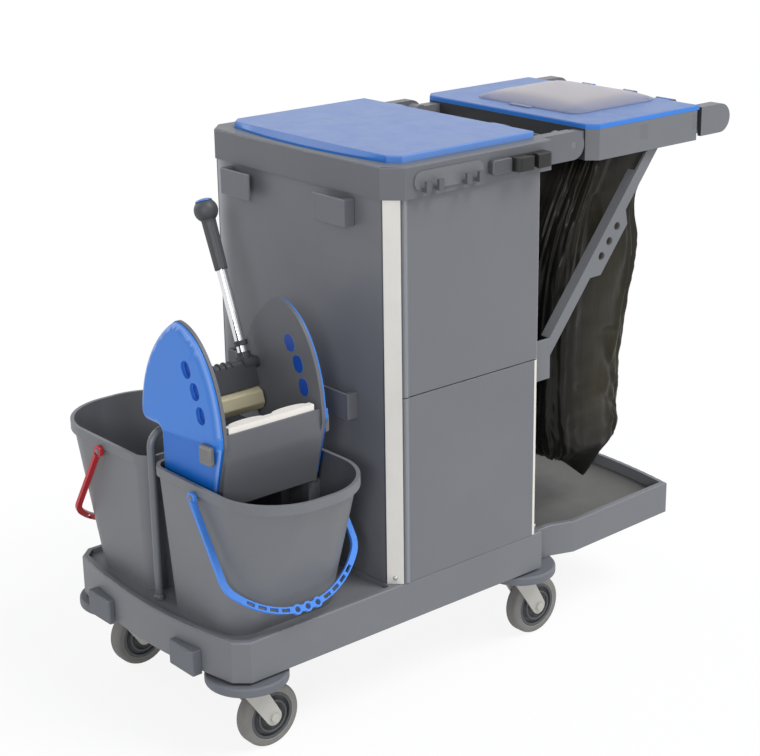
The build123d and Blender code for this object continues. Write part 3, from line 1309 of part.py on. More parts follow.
# Bag lid with an opening under the clear hatch
bag_lid_bottom = frame_top + BAG_LID_LIFT
bag_lid_top = bag_lid_bottom + BAG_LID_HEIGHT
hatch_front = frame_front + HATCH_FRONT_MARGIN
hatch_rear = hatch_front + HATCH_LENGTH
hatch_middle = hatch_front + HATCH_LENGTH / 2
hatch_bottom = bag_lid_top + HATCH_LIFT
hatch_hinge_x = hatch_rear + HATCH_KNUCKLE_REACH
hatch_hinge_z = bag_lid_top + KNUCKLE_LIFT + HATCH_KNUCKLE_DIAMETER / 2
hatch_places = [-HATCH_KNUCKLE_SPACING / 2, HATCH_KNUCKLE_SPACING / 2]
hatch_ear_step = HATCH_KNUCKLE_WIDTH / 2 + KNUCKLE_SIDE_GAP + HATCH_EAR / 2
hatch_ears = [middle + side * hatch_ear_step for middle in hatch_places for side in (-1, 1)]
with BuildPart() as bag_lid:
    with BuildSketch(Plane.XY.offset(bag_lid_bottom)) as lid_view:
        with Locations((frame_front, 0)):
            Rectangle(bag_lid_rear - frame_front, 2 * frame_half, align=(Align.MIN, Align.CENTER))
        chamfer(lid_view.vertices().group_by(Axis.X)[0], FRAME_CORNER)
    extrude(amount=BAG_LID_HEIGHT)
    fillet(bag_lid.faces().sort_by(Axis.Z)[-1].edges(), LID_EDGE_RADIUS)
    with BuildSketch(Plane.XY.offset(bag_lid_bottom)) as lid_inside:
        with Locations((frame_front + BAG_LID_SKIRT, 0)):
            Rectangle(
                bag_lid_rear - frame_front - 2 * BAG_LID_SKIRT,
                2 * (frame_half - BAG_LID_SKIRT),
                align=(Align.MIN, Align.CENTER),
            )
        chamfer(lid_inside.vertices().group_by(Axis.X)[0], FRAME_CORNER)
    extrude(amount=BAG_LID_HEIGHT - BAG_LID_SKIN, mode=Mode.SUBTRACT)
    with BuildSketch(Plane.XY.offset(bag_lid_bottom)):
        with Locations((hatch_middle, 0)):
            RectangleRounded(
                HATCH_LENGTH - 2 * HATCH_LAP, HATCH_WIDTH - 2 * HATCH_LAP, HATCH_HOLE_RADIUS
            )
    extrude(amount=BAG_LID_HEIGHT, mode=Mode.SUBTRACT)
    for middle in knuckle_places:
        with BuildSketch(Plane.XZ.offset(-middle)):
            with Locations((bag_hinge_x, bag_hinge_z)):
                Circle(KNUCKLE_DIAMETER / 2)
            with Locations((bag_hinge_x, bag_lid_top)):
                Rectangle(KNUCKLE_REACH + LID_EDGE_RADIUS + BAG_LID_SKIRT, BAG_LID_SKIN, align=Align.MAX)
            with Locations((bag_hinge_x, bag_hinge_z)):
                Circle(LID_PIN_DIAMETER / 2 + RUNNING_CLEARANCE, mode=Mode.SUBTRACT)
        extrude(amount=KNUCKLE_WIDTH / 2, both=True)
    for ear_y in hatch_ears:
        with BuildSketch(Plane.XZ.offset(-ear_y)):
            add(
                ear_profile(
                    hatch_hinge_x, hatch_hinge_z, bag_lid_top, HATCH_KNUCKLE_DIAMETER, HATCH_PIN_DIAMETER
                )
            )
        extrude(amount=HATCH_EAR / 2, both=True)
write_piece(bag_lid, "bag_lid")

with BuildPart() as hatch_pins:
    for middle in hatch_places:
        with BuildSketch(Plane.XZ.offset(-middle)):
            with Locations((hatch_hinge_x, hatch_hinge_z)):
                Circle(HATCH_PIN_DIAMETER / 2)
        extrude(amount=hatch_ear_step + HATCH_EAR / 2, both=True)
write_piece(hatch_pins, "hatch_pins")


def hatch_plan(height, drawn_in):
    """Plan of the clear hatch at a height above its lower edge."""
    with BuildSketch(Plane.XY.offset(hatch_bottom + height)) as plan:
        with Locations((hatch_middle, 0)):
            RectangleRounded(
                HATCH_LENGTH - 2 * drawn_in, HATCH_WIDTH - 2 * drawn_in, HATCH_CORNER_RADIUS - HATCH_SKIN
            )
    return plan.sketch


# Clear hatch: a thin domed shell with a finger tab, hinged at the handle side
with BuildPart() as clear_hatch:
    loft(sections=[hatch_plan(0, 0), hatch_plan(HATCH_HEIGHT, HATCH_DRAFT)])
    loft(
        sections=[hatch_plan(0, HATCH_SKIN), hatch_plan(HATCH_HEIGHT - HATCH_SKIN, HATCH_DRAFT)],
        mode=Mode.SUBTRACT,
    )
    with BuildSketch(Plane.XY.offset(hatch_bottom)):
        with Locations((hatch_front + HATCH_SKIN, 0)):
            Rectangle(HATCH_TAB_REACH + HATCH_SKIN, HATCH_TAB_WIDTH, align=(Align.MAX, Align.CENTER))
    extrude(amount=HATCH_SKIN)
    for middle in hatch_places:
        with BuildSketch(Plane.XZ.offset(-middle)):
            with Locations((hatch_hinge_x, hatch_hinge_z)):
                Circle(HATCH_KNUCKLE_DIAMETER / 2)
            with Locations((hatch_hinge_x, hatch_hinge_z)):
                Rectangle(
                    HATCH_KNUCKLE_REACH + HATCH_SKIN,
                    hatch_hinge_z - hatch_bottom,
                    align=Align.MAX,
                )
            with Locations((hatch_hinge_x, hatch_hinge_z)):
                Circle(HATCH_PIN_DIAMETER / 2 + RUNNING_CLEARANCE, mode=Mode.SUBTRACT)
        extrude(amount=HATCH_KNUCKLE_WIDTH / 2, both=True)
write_piece(clear_hatch, "clear_hatch")

# Struts: flat bars with a stiffening flange and a lobe with three holes
strut_top = (hinge_x + STRUT_TOP_REACH, hinge_z - STRUT_TOP_DROP)
strut_foot = (cabinet_rear + STRUT_FOOT_REACH, base_top + STRUT_FOOT_HEIGHT)
strut_run = strut_top[0] - strut_foot[0]
strut_rise = strut_top[1] - strut_foot[1]
strut_length = (strut_run**2 + strut_rise**2) ** 0.5
strut_plane = Plane(
    origin=(strut_foot[0], -channel_middle, strut_foot[1]),
    x_dir=(strut_run, 0, strut_rise),
    z_dir=(0, -1, 0),
)
with BuildPart() as strut_near:
    with BuildSketch(strut_plane):
        with BuildLine():
            foot_end = ThreePointArc((0, STRUT_HALF_WIDTH), (-STRUT_HALF_WIDTH, 0), (0, -STRUT_HALF_WIDTH))
            top_end = ThreePointArc(
                (strut_length, -STRUT_HALF_WIDTH),
                (strut_length + STRUT_HALF_WIDTH, 0),
                (strut_length, STRUT_HALF_WIDTH),
            )
            Polyline(
                foot_end @ 1,
                (STRUT_LOBE_START, -STRUT_HALF_WIDTH),
                (STRUT_LOBE_START + STRUT_LOBE_SLOPE, -STRUT_LOBE_DEPTH),
                (STRUT_LOBE_END - STRUT_LOBE_SLOPE, -STRUT_LOBE_DEPTH),
                (STRUT_LOBE_END, -STRUT_HALF_WIDTH),
                top_end @ 0,
            )
            Line(top_end @ 1, foot_end @ 0)
        make_face()
        with Locations((STRUT_HOLE_CENTRE, -STRUT_HALF_WIDTH)):
            with GridLocations(STRUT_HOLE_PITCH, 0, 3, 1):
                Circle(STRUT_HOLE_DIAMETER / 2, mode=Mode.SUBTRACT)
        with Locations((strut_length, 0)):
            Circle(STRUT_PIN_DIAMETER / 2 + RUNNING_CLEARANCE, mode=Mode.SUBTRACT)
        with Locations((0, 0)):
            Circle(STRUT_PIN_DIAMETER / 2, mode=Mode.SUBTRACT)
    extrude(amount=STRUT_WEB / 2, both=True)
    with BuildSketch(strut_plane.offset(STRUT_WEB / 2)):
        with Locations((STRUT_FLANGE_START, STRUT_HALF_WIDTH)):
            Rectangle(
                strut_length - STRUT_FLANGE_START - STRUT_FLANGE_END,
                STRUT_FLANGE_THICKNESS,
                align=(Align.MIN, Align.MAX),
            )
    extrude(amount=-STRUT_FLANGE)
write_piece(strut_near, "strut_near")

with BuildPart() as strut_far:
    mirror(strut_near.part, about=Plane.XZ)
write_piece(strut_far, "strut_far")

with BuildPart() as strut_pins:
    for side in (-1, 1):
        with BuildSketch(Plane.XZ.offset(-side * channel_middle)):
            with Locations(strut_top):
                Circle(STRUT_PIN_DIAMETER / 2)
        extrude(amount=FRAME_BAR / 2 - FRAME_WALL, both=True)
write_piece(strut_pins, "strut_pins")

# Brackets on the rear of the cabinet beside the strut feet
with BuildPart() as strut_brackets:
    cheek_near = channel_middle + STRUT_WEB / 2 + BRACKET_SIDE_GAP
    for side in (-1, 1):
        with BuildSketch(Plane.XY.offset(strut_foot[1] - BRACKET_HEIGHT / 2)):
            with Locations((cabinet_rear, side * (cheek_near + BRACKET_CHEEK))):
                Rectangle(
                    BRACKET_PLATE,
                    BRACKET_WIDTH,
                    align=(Align.MIN, Align.MAX if side > 0 else Align.MIN),
                )
                Rectangle(
                    STRUT_FOOT_REACH + STRUT_HALF_WIDTH,
                    BRACKET_CHEEK,
                    align=(Align.MIN, Align.MAX if side > 0 else Align.MIN),
                )
        extrude(amount=BRACKET_HEIGHT)
write_piece(strut_brackets, "strut_brackets")


def platform_plan(inset=0.0):
    """Plan of the rear platform: a neck at the base, then a wider bowed tray."""
    flare = cabinet_rear + PLATFORM_NECK_LENGTH
    wide = flare + PLATFORM_FLARE_LENGTH
    end = cabinet_rear + PLATFORM_LENGTH
    neck_half = cabinet_half - PLATFORM_NECK_INSET
    wide_half = cabinet_half - PLATFORM_INSET
    end_half = cabinet_half - PLATFORM_END_INSET
    with BuildSketch() as plan:
        with BuildLine():
            tail = ThreePointArc((end - PLATFORM_BOW, -end_half), (end, 0), (end - PLATFORM_BOW, end_half))
            Polyline(
                tail @ 1,
                (wide, wide_half),
                (flare, neck_half),
                (cabinet_rear, neck_half),
                (cabinet_rear, -neck_half),
                (flare, -neck_half),
                (wide, -wide_half),
                tail @ 0,
            )
        make_face()
        if inset:
            offset(amount=-inset, kind=Kind.INTERSECTION)
    return plan.sketch


# Rear platform under the bag
with BuildPart() as bag_platform:
    with BuildSketch(Plane.XY.offset(platform_bottom)):
        add(platform_plan())
    extrude(amount=PLATFORM_HEIGHT)
    fillet(bag_platform.faces().sort_by(Axis.Z)[-1].edges(), BASE_EDGE_RADIUS)
    with BuildSketch(Plane.XY.offset(platform_top)):
        add(platform_plan(PLATFORM_RIM))
    extrude(amount=-PLATFORM_RECESS, mode=Mode.SUBTRACT)
    with BuildSketch(Plane.XY.offset(platform_bottom)):
        add(platform_plan(PLATFORM_WALL))
    extrude(amount=PLATFORM_HEIGHT - PLATFORM_RECESS - PLATFORM_FLOOR, mode=Mode.SUBTRACT)
write_piece(bag_platform, "bag_platform")

# Waste bag: hangs in the frame's opening, belly towards the handle, gathered at the bottom
bag_top = frame_top - BAG_TOP_DROP
bag_half = frame_half - FRAME_BAR - BAG_CLEARANCE
bag_front = frame_front + FRAME_BAR + BAG_CLEARANCE
bag_rear = frame_rear - FRAME_BAR - BAG_CLEARANCE
bag_levels = (
    (0.0, 0, 0, 0),
    (0.05, 3, -4, 3),
    (0.1, 0, -16, 6),
    (0.25, -50, -72, 8),
    (0.37, -80, -60, 10),
    (0.52, -95, -70, 12),
    (0.68, -98, -86, 13),
    (0.85, -94, -91, 14),
    (0.95, -70, -100, 20),
    (1.0, -20, -150, 60),
)


def bag_plan(share, front_shift, rear_shift, side_shift, inset):
    """Plan of the bag at a share of its depth below the mouth."""
    front = bag_front + front_shift + inset
    rear = bag_rear + rear_shift - inset
    with BuildSketch(Plane.XY.offset(bag_top - share * BAG_LENGTH)) as plan:
        with Locations(((front + rear) / 2, 0)):
            RectangleRounded(
                rear - front, 2 * (bag_half - side_shift - inset), BAG_CORNER_RADIUS - inset
            )
    return plan.sketch


with BuildPart() as bag_hollow:
    loft(sections=[bag_plan(*level, BAG_SKIN) for level in bag_levels[:-1]], ruled=True)
with BuildPart() as waste_bag:
    loft(sections=[bag_plan(*level, 0.0) for level in bag_levels], ruled=True)
    add(bag_hollow.part, mode=Mode.SUBTRACT)
write_piece(waste_bag, "waste_bag")
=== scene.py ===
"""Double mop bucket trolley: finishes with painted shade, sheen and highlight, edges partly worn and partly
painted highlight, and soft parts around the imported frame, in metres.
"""

import json
import math

import bmesh
import bpy
from mathutils import Matrix, Vector, noise


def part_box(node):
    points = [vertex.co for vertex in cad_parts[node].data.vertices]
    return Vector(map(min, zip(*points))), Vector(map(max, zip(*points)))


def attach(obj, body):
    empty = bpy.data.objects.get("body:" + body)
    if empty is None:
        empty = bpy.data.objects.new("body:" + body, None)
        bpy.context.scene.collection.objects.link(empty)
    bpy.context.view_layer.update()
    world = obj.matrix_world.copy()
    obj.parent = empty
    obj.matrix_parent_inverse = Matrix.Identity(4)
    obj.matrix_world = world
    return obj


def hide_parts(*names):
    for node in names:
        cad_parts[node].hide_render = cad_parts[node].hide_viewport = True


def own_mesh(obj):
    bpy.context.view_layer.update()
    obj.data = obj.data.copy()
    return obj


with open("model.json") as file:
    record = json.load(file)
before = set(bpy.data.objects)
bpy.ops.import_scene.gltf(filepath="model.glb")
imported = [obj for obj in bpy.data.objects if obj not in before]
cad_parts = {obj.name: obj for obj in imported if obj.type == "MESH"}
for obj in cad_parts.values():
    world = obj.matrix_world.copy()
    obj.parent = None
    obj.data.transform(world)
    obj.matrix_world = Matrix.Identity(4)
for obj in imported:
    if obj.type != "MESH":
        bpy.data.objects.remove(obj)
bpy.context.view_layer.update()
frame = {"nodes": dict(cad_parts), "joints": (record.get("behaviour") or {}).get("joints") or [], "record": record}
node_body = {node: body for body, nodes in frame["record"]["behaviour"]["bodies"].items() for node in nodes}
node_slot = {part["node"]: part["material_slot"] for part in frame["record"]["subparts"]}
joint_place = {joint["name"]: Vector(joint["pos_m"]) for joint in frame["joints"] if "pos_m" in joint}

# Camera of the photograph
VIEW_PLACE = (-2.2618, -2.5976, 1.7210)
VIEW_AZIMUTH = -40.06
VIEW_ELEVATION = 18.92
VIEW_ROLL = -0.81
VIEW_LENS = 84.17
SENSOR_WIDTH = 36.0

# Light and floor
WHITE = (1.0, 1.0, 1.0, 1.0)
AMBIENT = 0.42
AMBIENT_COLOUR = (0.93, 0.96, 1.0, 1.0)
LAMPS = (
    # name, strength, direction it shines from, spread in degrees
    ("key_light", 1.0, (-0.75, -0.65, 0.32), 14.0),
    ("side_light", 2.0, (0.35, -0.6, 1.0), 28.0),
    ("back_light", 0.5, (1.0, -0.15, 0.4), 28.0),
    ("far_light", 0.5, (-0.35, 1.0, 0.4), 28.0),
)
FLOOR_REACH = 40.0
FLOOR_COLOUR = (0.93, 0.93, 0.93, 1.0)
FLOOR_WHITE = 0.88

# Rounding of the CAD pieces
WELD = 0.00001
FLAT_ANGLE = math.radians(0.6)
EDGE_ANGLE = math.radians(32)
SHARP_ANGLE = math.radians(48)
EDGE_ROUND = 0.0012
EDGE_SEGMENTS = 2

# Outline of the clear hatch
HATCH_FRONT = 0.3180
HATCH_REAR = 0.5720
HATCH_MIDDLE = (HATCH_FRONT + HATCH_REAR) / 2
HATCH_REACH = (HATCH_REAR - HATCH_FRONT) / 2
HATCH_HALF = 0.1470


def screen(red, green, blue):
    """Linear colour of a screen colour given in 0 to 255."""
    shares = [level / 255 for level in (red, green, blue)]
    linear = [s / 12.92 if s <= 0.04045 else ((s + 0.055) / 1.055) ** 2.4 for s in shares]
    return (*linear, 1.0)


def toned(colour, factor):
    """A colour made lighter or darker by a factor."""
    return (*(min(1.0, level * factor) for level in colour[:3]), 1.0)


class Wire:
    """A node's socket that takes part in Python arithmetic."""

    def __init__(self, board, socket):
        self.board = board
        self.socket = socket

    def joined(self, operation, first, second):
        """A Math node on two values."""
        return self.board.node("ShaderNodeMath", {"operation": operation}, {0: first, 1: second})

    def __add__(self, other):
        return self.joined("ADD", self, other)

    def __radd__(self, other):
        return self.joined("ADD", other, self)

    def __sub__(self, other):
        return self.joined("SUBTRACT", self, other)

    def __rsub__(self, other):
        return self.joined("SUBTRACT", other, self)

    def __mul__(self, other):
        return self.joined("MULTIPLY", self, other)

    def __rmul__(self, other):
        return self.joined("MULTIPLY", other, self)

    def __pow__(self, other):
        return self.joined("POWER", self, other)

    def __abs__(self):
        return self.joined("ABSOLUTE", self, 0.0)


class Board:
    """A node tree in the making."""

    def __init__(self, tree):
        self.tree = tree
        tree.nodes.clear()

    def node(self, kind, settings=None, sockets=None, output=0):
        """Add a node, set it up, fill its sockets and hand back one of its outputs."""
        made = self.tree.nodes.new(kind)
        for name, value in (settings or {}).items():
            setattr(made, name, value)
        for name, value in (sockets or {}).items():
            self.feed(made.inputs[name], value)
        return Wire(self, made.outputs[output])

    def feed(self, socket, value):
        """Link a wire to a socket, or set a plain value on it."""
        if isinstance(value, Wire):
            self.tree.links.new(value.socket, socket)
        else:
            socket.default_value = value

    def background_rays(self):
        """1 for rays that should see the white surroundings."""
        path = self.tree.nodes.new("ShaderNodeLightPath")
        camera, glossy, through = (
            Wire(self, path.outputs[f"Is {kind} Ray"]) for kind in ("Camera", "Glossy", "Transmission")
        )
        return camera + glossy + through


class Finish(Board):
    """A material in the making: its nodes and its surface shader."""

    def __init__(self, name, **constants):
        self.material = bpy.data.materials.new(name)
        self.material.use_nodes = True
        super().__init__(self.material.node_tree)
        self.surface = self.tree.nodes.new("ShaderNodeBsdfPrincipled")
        self.output = self.tree.nodes.new("ShaderNodeOutputMaterial")
        self.tree.links.new(self.surface.outputs["BSDF"], self.output.inputs["Surface"])
        self.place = self.node("ShaderNodeTexCoord", output="Object")
        self.dress(**constants)

    def noise(self, scale, detail=3.0, roughness=0.55, stretch=(1.0, 1.0, 1.0), shift=0.0):
        """Cloudy noise from 0 to 1 over the piece, drawn out along the axes by a stretch."""
        squeeze = tuple(1 / amount for amount in stretch)
        moved = {"Vector": self.place, "Location": (shift, shift, shift), "Scale": squeeze}
        place = self.node("ShaderNodeMapping", sockets=moved)
        sockets = {"Vector": place, "Scale": scale, "Detail": detail, "Roughness": roughness}
        return self.node("ShaderNodeTexNoise", sockets=sockets)

    def cells(self, scale):
        """Distance to the nearest cell centre, for pits."""
        return self.node("ShaderNodeTexVoronoi", sockets={"Vector": self.place, "Scale": scale})

    def between(self, value, low, high):
        """0 below low, 1 above high, and an even rise between."""
        sockets = {"Value": value, "From Min": low, "From Max": high}
        return self.node("ShaderNodeMapRange", {"clamp": True}, sockets)

    def mix(self, factor, first, second):
        """Blend two colours."""
        settings = {"data_type": "RGBA", "clamp_factor": True}
        return self.node("ShaderNodeMix", settings, {0: factor, 6: first, 7: second}, output=2)

    def rounded_faces(self):
        """1 on the rounded edges of a piece, 0 elsewhere."""
        settings = {"attribute_type": "GEOMETRY", "attribute_name": "rounded_face"}
        return self.node("ShaderNodeAttribute", settings, output="Fac")

    def along(self, axis):
        """Place along an axis of the shared frame."""
        return self.node("ShaderNodeSeparateXYZ", sockets={0: self.place}, output=axis)

    def facing(self, axis):
        """How far the surface faces along an axis, from -1 to 1."""
        direction = self.node("ShaderNodeTexCoord", output="Normal")
        return self.node("ShaderNodeSeparateXYZ", sockets={0: direction}, output=axis)

    def upward(self):
        """How far the surface faces up, from 0 to 1."""
        return self.between(self.facing("Z"), 0.35, 0.95)

    def band(self, value, low, high, soft=0.001):
        """1 between two limits, 0 beyond them."""
        return self.between(value, low - soft, low) * (1 - self.between(value, high, high + soft))

    def bump(self, height, distance):
        """Normal of a surface raised by a height."""
        return self.node("ShaderNodeBump", sockets={"Height": height, "Distance": distance})

    def dress(self, **values):
        """Feed the surface shader's sockets, with spaces written as underscores."""
        for name, value in values.items():
            self.feed(self.surface.inputs[name.replace("_", " ")], value)
        return self.material


def moulded_plastic(
    name,
    colour,
    roughness=0.46,
    grain=900.0,
    depth=0.00012,
    top_sheen=0.0,
    top_sheen_colour=None,
    edge_lightening=0.55,
    zones=None,
):
    """Moulded plastic: cloudy tone, painted sheen on the top, zones of other tones, fine grain, scuffs, and chafed
    edges that are partly painted highlight.
    """
    finish = Finish(name, IOR=1.5, Specular_IOR_Level=0.4)
    cloud = finish.noise(4.5, detail=4.0)
    blotch = finish.noise(22.0, detail=5.0, roughness=0.65, shift=3.0)
    scuff = finish.noise(60.0, detail=7.0, roughness=0.72, stretch=(1.0, 1.0, 7.0), shift=7.0)
    speck = finish.noise(grain, detail=2.0)
    tone = finish.mix(cloud * 0.7 + blotch * 0.3, toned(colour, 0.86), toned(colour, 1.13))
    # painted sheen: upward faces made paler, standing in for light on the tops
    sheened = finish.mix(finish.upward() * top_sheen, tone, top_sheen_colour or toned(colour, 1.3))
    zoned = zones(finish, sheened) if zones else sheened
    scratches = finish.between(scuff, 0.62, 0.74)
    rubbed = finish.mix(scratches * 0.12, zoned, toned(colour, 1.5))
    # chafed edges: partly wear, partly painted highlight along the rounded edges
    chafe_and_edge_highlight = finish.rounded_faces() * finish.between(blotch, 0.36, 0.62) * edge_lightening
    return finish.dress(
        Base_Color=finish.mix(chafe_and_edge_highlight, rubbed, toned(colour, 1.75)),
        Roughness=roughness + (blotch - 0.5) * 0.22 + scratches * 0.12,
        Normal=finish.bump(speck + scuff * 0.5, depth),
    )


# Colours of the zones: painted shade and highlight, besides the prongs' and the lip's own colours
SHADED_BLUE = screen(0, 94, 184)
POCKET_SHADE_BLUE = screen(0, 66, 158)
BEVEL_HIGHLIGHT_BLUE = screen(128, 160, 220)
EDGE_HIGHLIGHT_BLUE = screen(120, 152, 208)
SHOW_THROUGH_BLUE = screen(150, 160, 196)
INSIDE_SHADE_GREY = screen(78, 80, 85)
PLATFORM_SHADE_GREY = screen(74, 73, 70)
GROOVE_SHADE_GREY = screen(58, 61, 66)
BEAD_HIGHLIGHT_GREY = screen(165, 168, 172)
ROLL_HIGHLIGHT_GREY = screen(190, 191, 194)
TAB_SHADE_GREY = screen(88, 89, 92)
GAP_SHADE_GREY = screen(34, 34, 36)
PRONG_GREY = screen(86, 87, 92)
LIP_WHITE = screen(222, 217, 208)

# Places of the zones in the shared frame, each as the two ends of a change of tone
COVER_SHOULDER = (0.588, 0.594)
COVER_SLOPE = 0.09
COVER_POCKET = (0.1172, 0.1182)
BUCKET_INSIDE = (-0.03, 0.0)
PLATFORM_RIM = (0.224, 0.232)
PANEL_GROOVE = (-0.2530, -0.2520)
PANEL_BEAD = (-0.2480, -0.2440)
REAR_LIP = (0.0856, 0.0864)
REAR_LIP_TOP = (0.626, 0.630)
FRONT_ROLL = (0.205, 0.246)
FRONT_GROOVE = (0.2480, 0.2490)
FIRST_TAB = (0.401, 0.424)
SECOND_TAB = (0.560, 0.584)
TAB_HEIGHT = (1.012, 1.042)
HOOK_PRONGS = (0.2870, 0.2890)
HATCH_RIM = (-0.042, -0.002)
LIGHT_THROUGH = (0.24, 0.34)
LIGHT_THROUGH_FOOT = (0.33, 0.46)
LIGHT_THROUGH_TOP = (0.86, 1.0)


# Zones of other tones and of painted shade and highlight, told apart by place and facing
def cover_zones(finish, tone):
    """Painted shade, deep blue below the shoulder and in the hole pockets, and a pale painted highlight on the
    bevel.
    """
    offset = abs(finish.along("X") - joint_place["lever_pull"].x)
    flat = abs(finish.facing("X"))
    low = 1 - finish.between(finish.along("Z") + finish.along("Y") * COVER_SLOPE, *COVER_SHOULDER)
    bevel = finish.between(flat, 0.78, 0.86) * (1 - finish.between(flat, 0.93, 0.985))
    pocket_shade = (1 - finish.between(offset, *COVER_POCKET)) * finish.between(flat, 0.95, 0.99)
    shaded_below_shoulder = finish.mix(low * 0.9, tone, SHADED_BLUE)
    bevel_highlighted = finish.mix(bevel * 0.75, shaded_below_shoulder, BEVEL_HIGHLIGHT_BLUE)
    return finish.mix(pocket_shade, bevel_highlighted, POCKET_SHADE_BLUE)


def lid_zones(finish, tone):
    """Painted highlight: paler blue on the long edges of the cabinet lid."""
    edge = finish.between(abs(finish.facing("Y")), 0.5, 0.9)
    return finish.mix(edge * 0.6, tone, EDGE_HIGHLIGHT_BLUE)


def bucket_zones(bail_joint):
    """Painted shade: dull grey inside the bucket of a bail, told by faces that look at its middle."""

    def zones(finish, tone):
        middle = joint_place[bail_joint]
        outward = finish.facing("X") * (finish.along("X") - middle.x)
        outward = outward + finish.facing("Y") * (finish.along("Y") - middle.y)
        inside_shade = 1 - finish.between(outward, *BUCKET_INSIDE)
        return finish.mix(inside_shade * 0.8, tone, INSIDE_SHADE_GREY)

    return zones


def platform_zones(finish, tone):
    """Painted shade on the floor below the platform's rim."""
    below = 1 - finish.between(finish.along("Z"), *PLATFORM_RIM)
    return finish.mix(finish.upward() * below * 0.85, tone, PLATFORM_SHADE_GREY)


def side_panel_zones(finish, tone):
    """Painted shade in a groove and a painted highlight on a bead along the front post, and the rear post's pale
    lip low down.
    """
    along = finish.along("X")
    outside = finish.between(abs(finish.facing("Y")), 0.6, 0.8)
    groove_shaded = finish.mix((1 - finish.between(along, *PANEL_GROOVE)) * 0.8, tone, GROOVE_SHADE_GREY)
    bead_highlighted = finish.mix(finish.band(along, *PANEL_BEAD) * 0.35, groove_shaded, BEAD_HIGHLIGHT_GREY)
    lip = finish.between(along, *REAR_LIP) * (1 - finish.between(finish.along("Z"), *REAR_LIP_TOP))
    return finish.mix(lip * outside * 0.9, bead_highlighted, LIP_WHITE)


def front_panel_zones(finish, tone):
    """Painted shade in grooves at both posts and a painted highlight on a roll towards the far one."""
    across = finish.along("Y")
    roll = finish.between(across, *FRONT_ROLL) ** 2.0
    roll_highlighted = finish.mix(roll * 0.55, tone, ROLL_HIGHLIGHT_GREY)
    groove_shade = finish.between(abs(across), *FRONT_GROOVE)
    return finish.mix(groove_shade * 0.8, roll_highlighted, GROOVE_SHADE_GREY)


def frame_zones(finish, tone):
    """Painted shade: faint darkened tabs on the sides of the bag frame and a dark front, in the gap behind the
    hinge arms.
    """
    along = finish.along("X")
    tabs = finish.band(along, *FIRST_TAB) + finish.band(along, *SECOND_TAB)
    height = finish.band(finish.along("Z"), *TAB_HEIGHT)
    side = finish.between(abs(finish.facing("Y")), 0.9, 0.97)
    # painted shade on the front faces, in the gap behind the hinge arms
    front = 1 - finish.between(finish.facing("X"), -0.92, -0.86)
    tab_shaded = finish.mix(tabs * height * side * 0.28, tone, TAB_SHADE_GREY)
    return finish.mix(front * 0.85, tab_shaded, GAP_SHADE_GREY)


def hook_zones(finish, tone):
    """Dark prongs in front of a plate."""
    return finish.mix(finish.between(abs(finish.along("Y")), *HOOK_PRONGS), tone, PRONG_GREY)


# Other finishes
def clear_plastic():
    """Milky clear plastic with faint haze and hairlines, and a painted bluer rim where the blue lid would show
    through.
    """
    finish = Finish("clear_plastic", IOR=1.46, Transmission_Weight=0.6)
    cloud = finish.noise(9.0, detail=4.0)
    hair = finish.noise(180.0, detail=5.0, roughness=0.7, stretch=(1.0, 9.0, 1.0))
    tone = finish.mix(cloud, screen(198, 193, 201), screen(216, 210, 216))
    ends = finish.between(abs(finish.along("X") - HATCH_MIDDLE) - HATCH_REACH, *HATCH_RIM)
    sides = finish.between(abs(finish.along("Y")) - HATCH_HALF, *HATCH_RIM)
    return finish.dress(
        Base_Color=finish.mix((ends + sides) * 0.8, tone, SHOW_THROUGH_BLUE),
        Roughness=0.24 + cloud * 0.1 + hair * 0.05,
        Normal=finish.bump(cloud, 0.00006),
    )


def bag_film():
    """Thin black film, near black at the cabinet, top and foot, with olive brown painted in the middle as light
    coming through.
    """
    finish = Finish("bag_film", IOR=1.45, Coat_Roughness=0.2, Specular_IOR_Level=0.15)
    drape = finish.noise(7.0, detail=3.0, stretch=(1.0, 1.0, 5.0))
    crease = finish.noise(24.0, detail=5.0, roughness=0.55, stretch=(1.0, 1.0, 4.0))
    crinkle = abs(crease - 0.5)
    fine = finish.noise(140.0, detail=4.0, roughness=0.6)
    height = finish.along("Z")
    lit_through = finish.between(finish.along("X"), *LIGHT_THROUGH) * finish.between(height, *LIGHT_THROUGH_FOOT)
    lit_through = lit_through * (1 - finish.between(height, *LIGHT_THROUGH_TOP) * 0.6)
    dark = finish.mix(drape, screen(13, 13, 12), screen(24, 23, 21))
    lit_brown = finish.mix(finish.between(drape, 0.3, 0.7), screen(28, 26, 19), screen(48, 44, 34))
    return finish.dress(
        Base_Color=finish.mix(lit_through, dark, lit_brown),
        Roughness=0.36 + fine * 0.14,
        Coat_Weight=0.05 + crinkle * 0.5,
        Normal=finish.bump(crinkle + fine * 0.06, 0.0022),
    )


def brushed_metal(name, colour, roughness, metallic, stretch, edge_lightening=0.3):
    """Metal with fine drawn lines along one axis, dull patches and bright edges."""
    finish = Finish(name, IOR=1.6)
    lines = finish.noise(420.0, detail=4.0, roughness=0.6, stretch=stretch)
    patch = finish.noise(14.0, detail=5.0, roughness=0.6)
    tone = finish.mix(patch * 0.7 + lines * 0.3, toned(colour, 0.86), toned(colour, 1.1))
    return finish.dress(
        Base_Color=finish.mix(finish.rounded_faces() * edge_lightening, tone, toned(colour, 1.25)),
        Metallic=metallic - patch * 0.15,
        Roughness=roughness + (lines - 0.5) * 0.16 + (patch - 0.5) * 0.14,
        Normal=finish.bump(lines, 0.00006),
    )


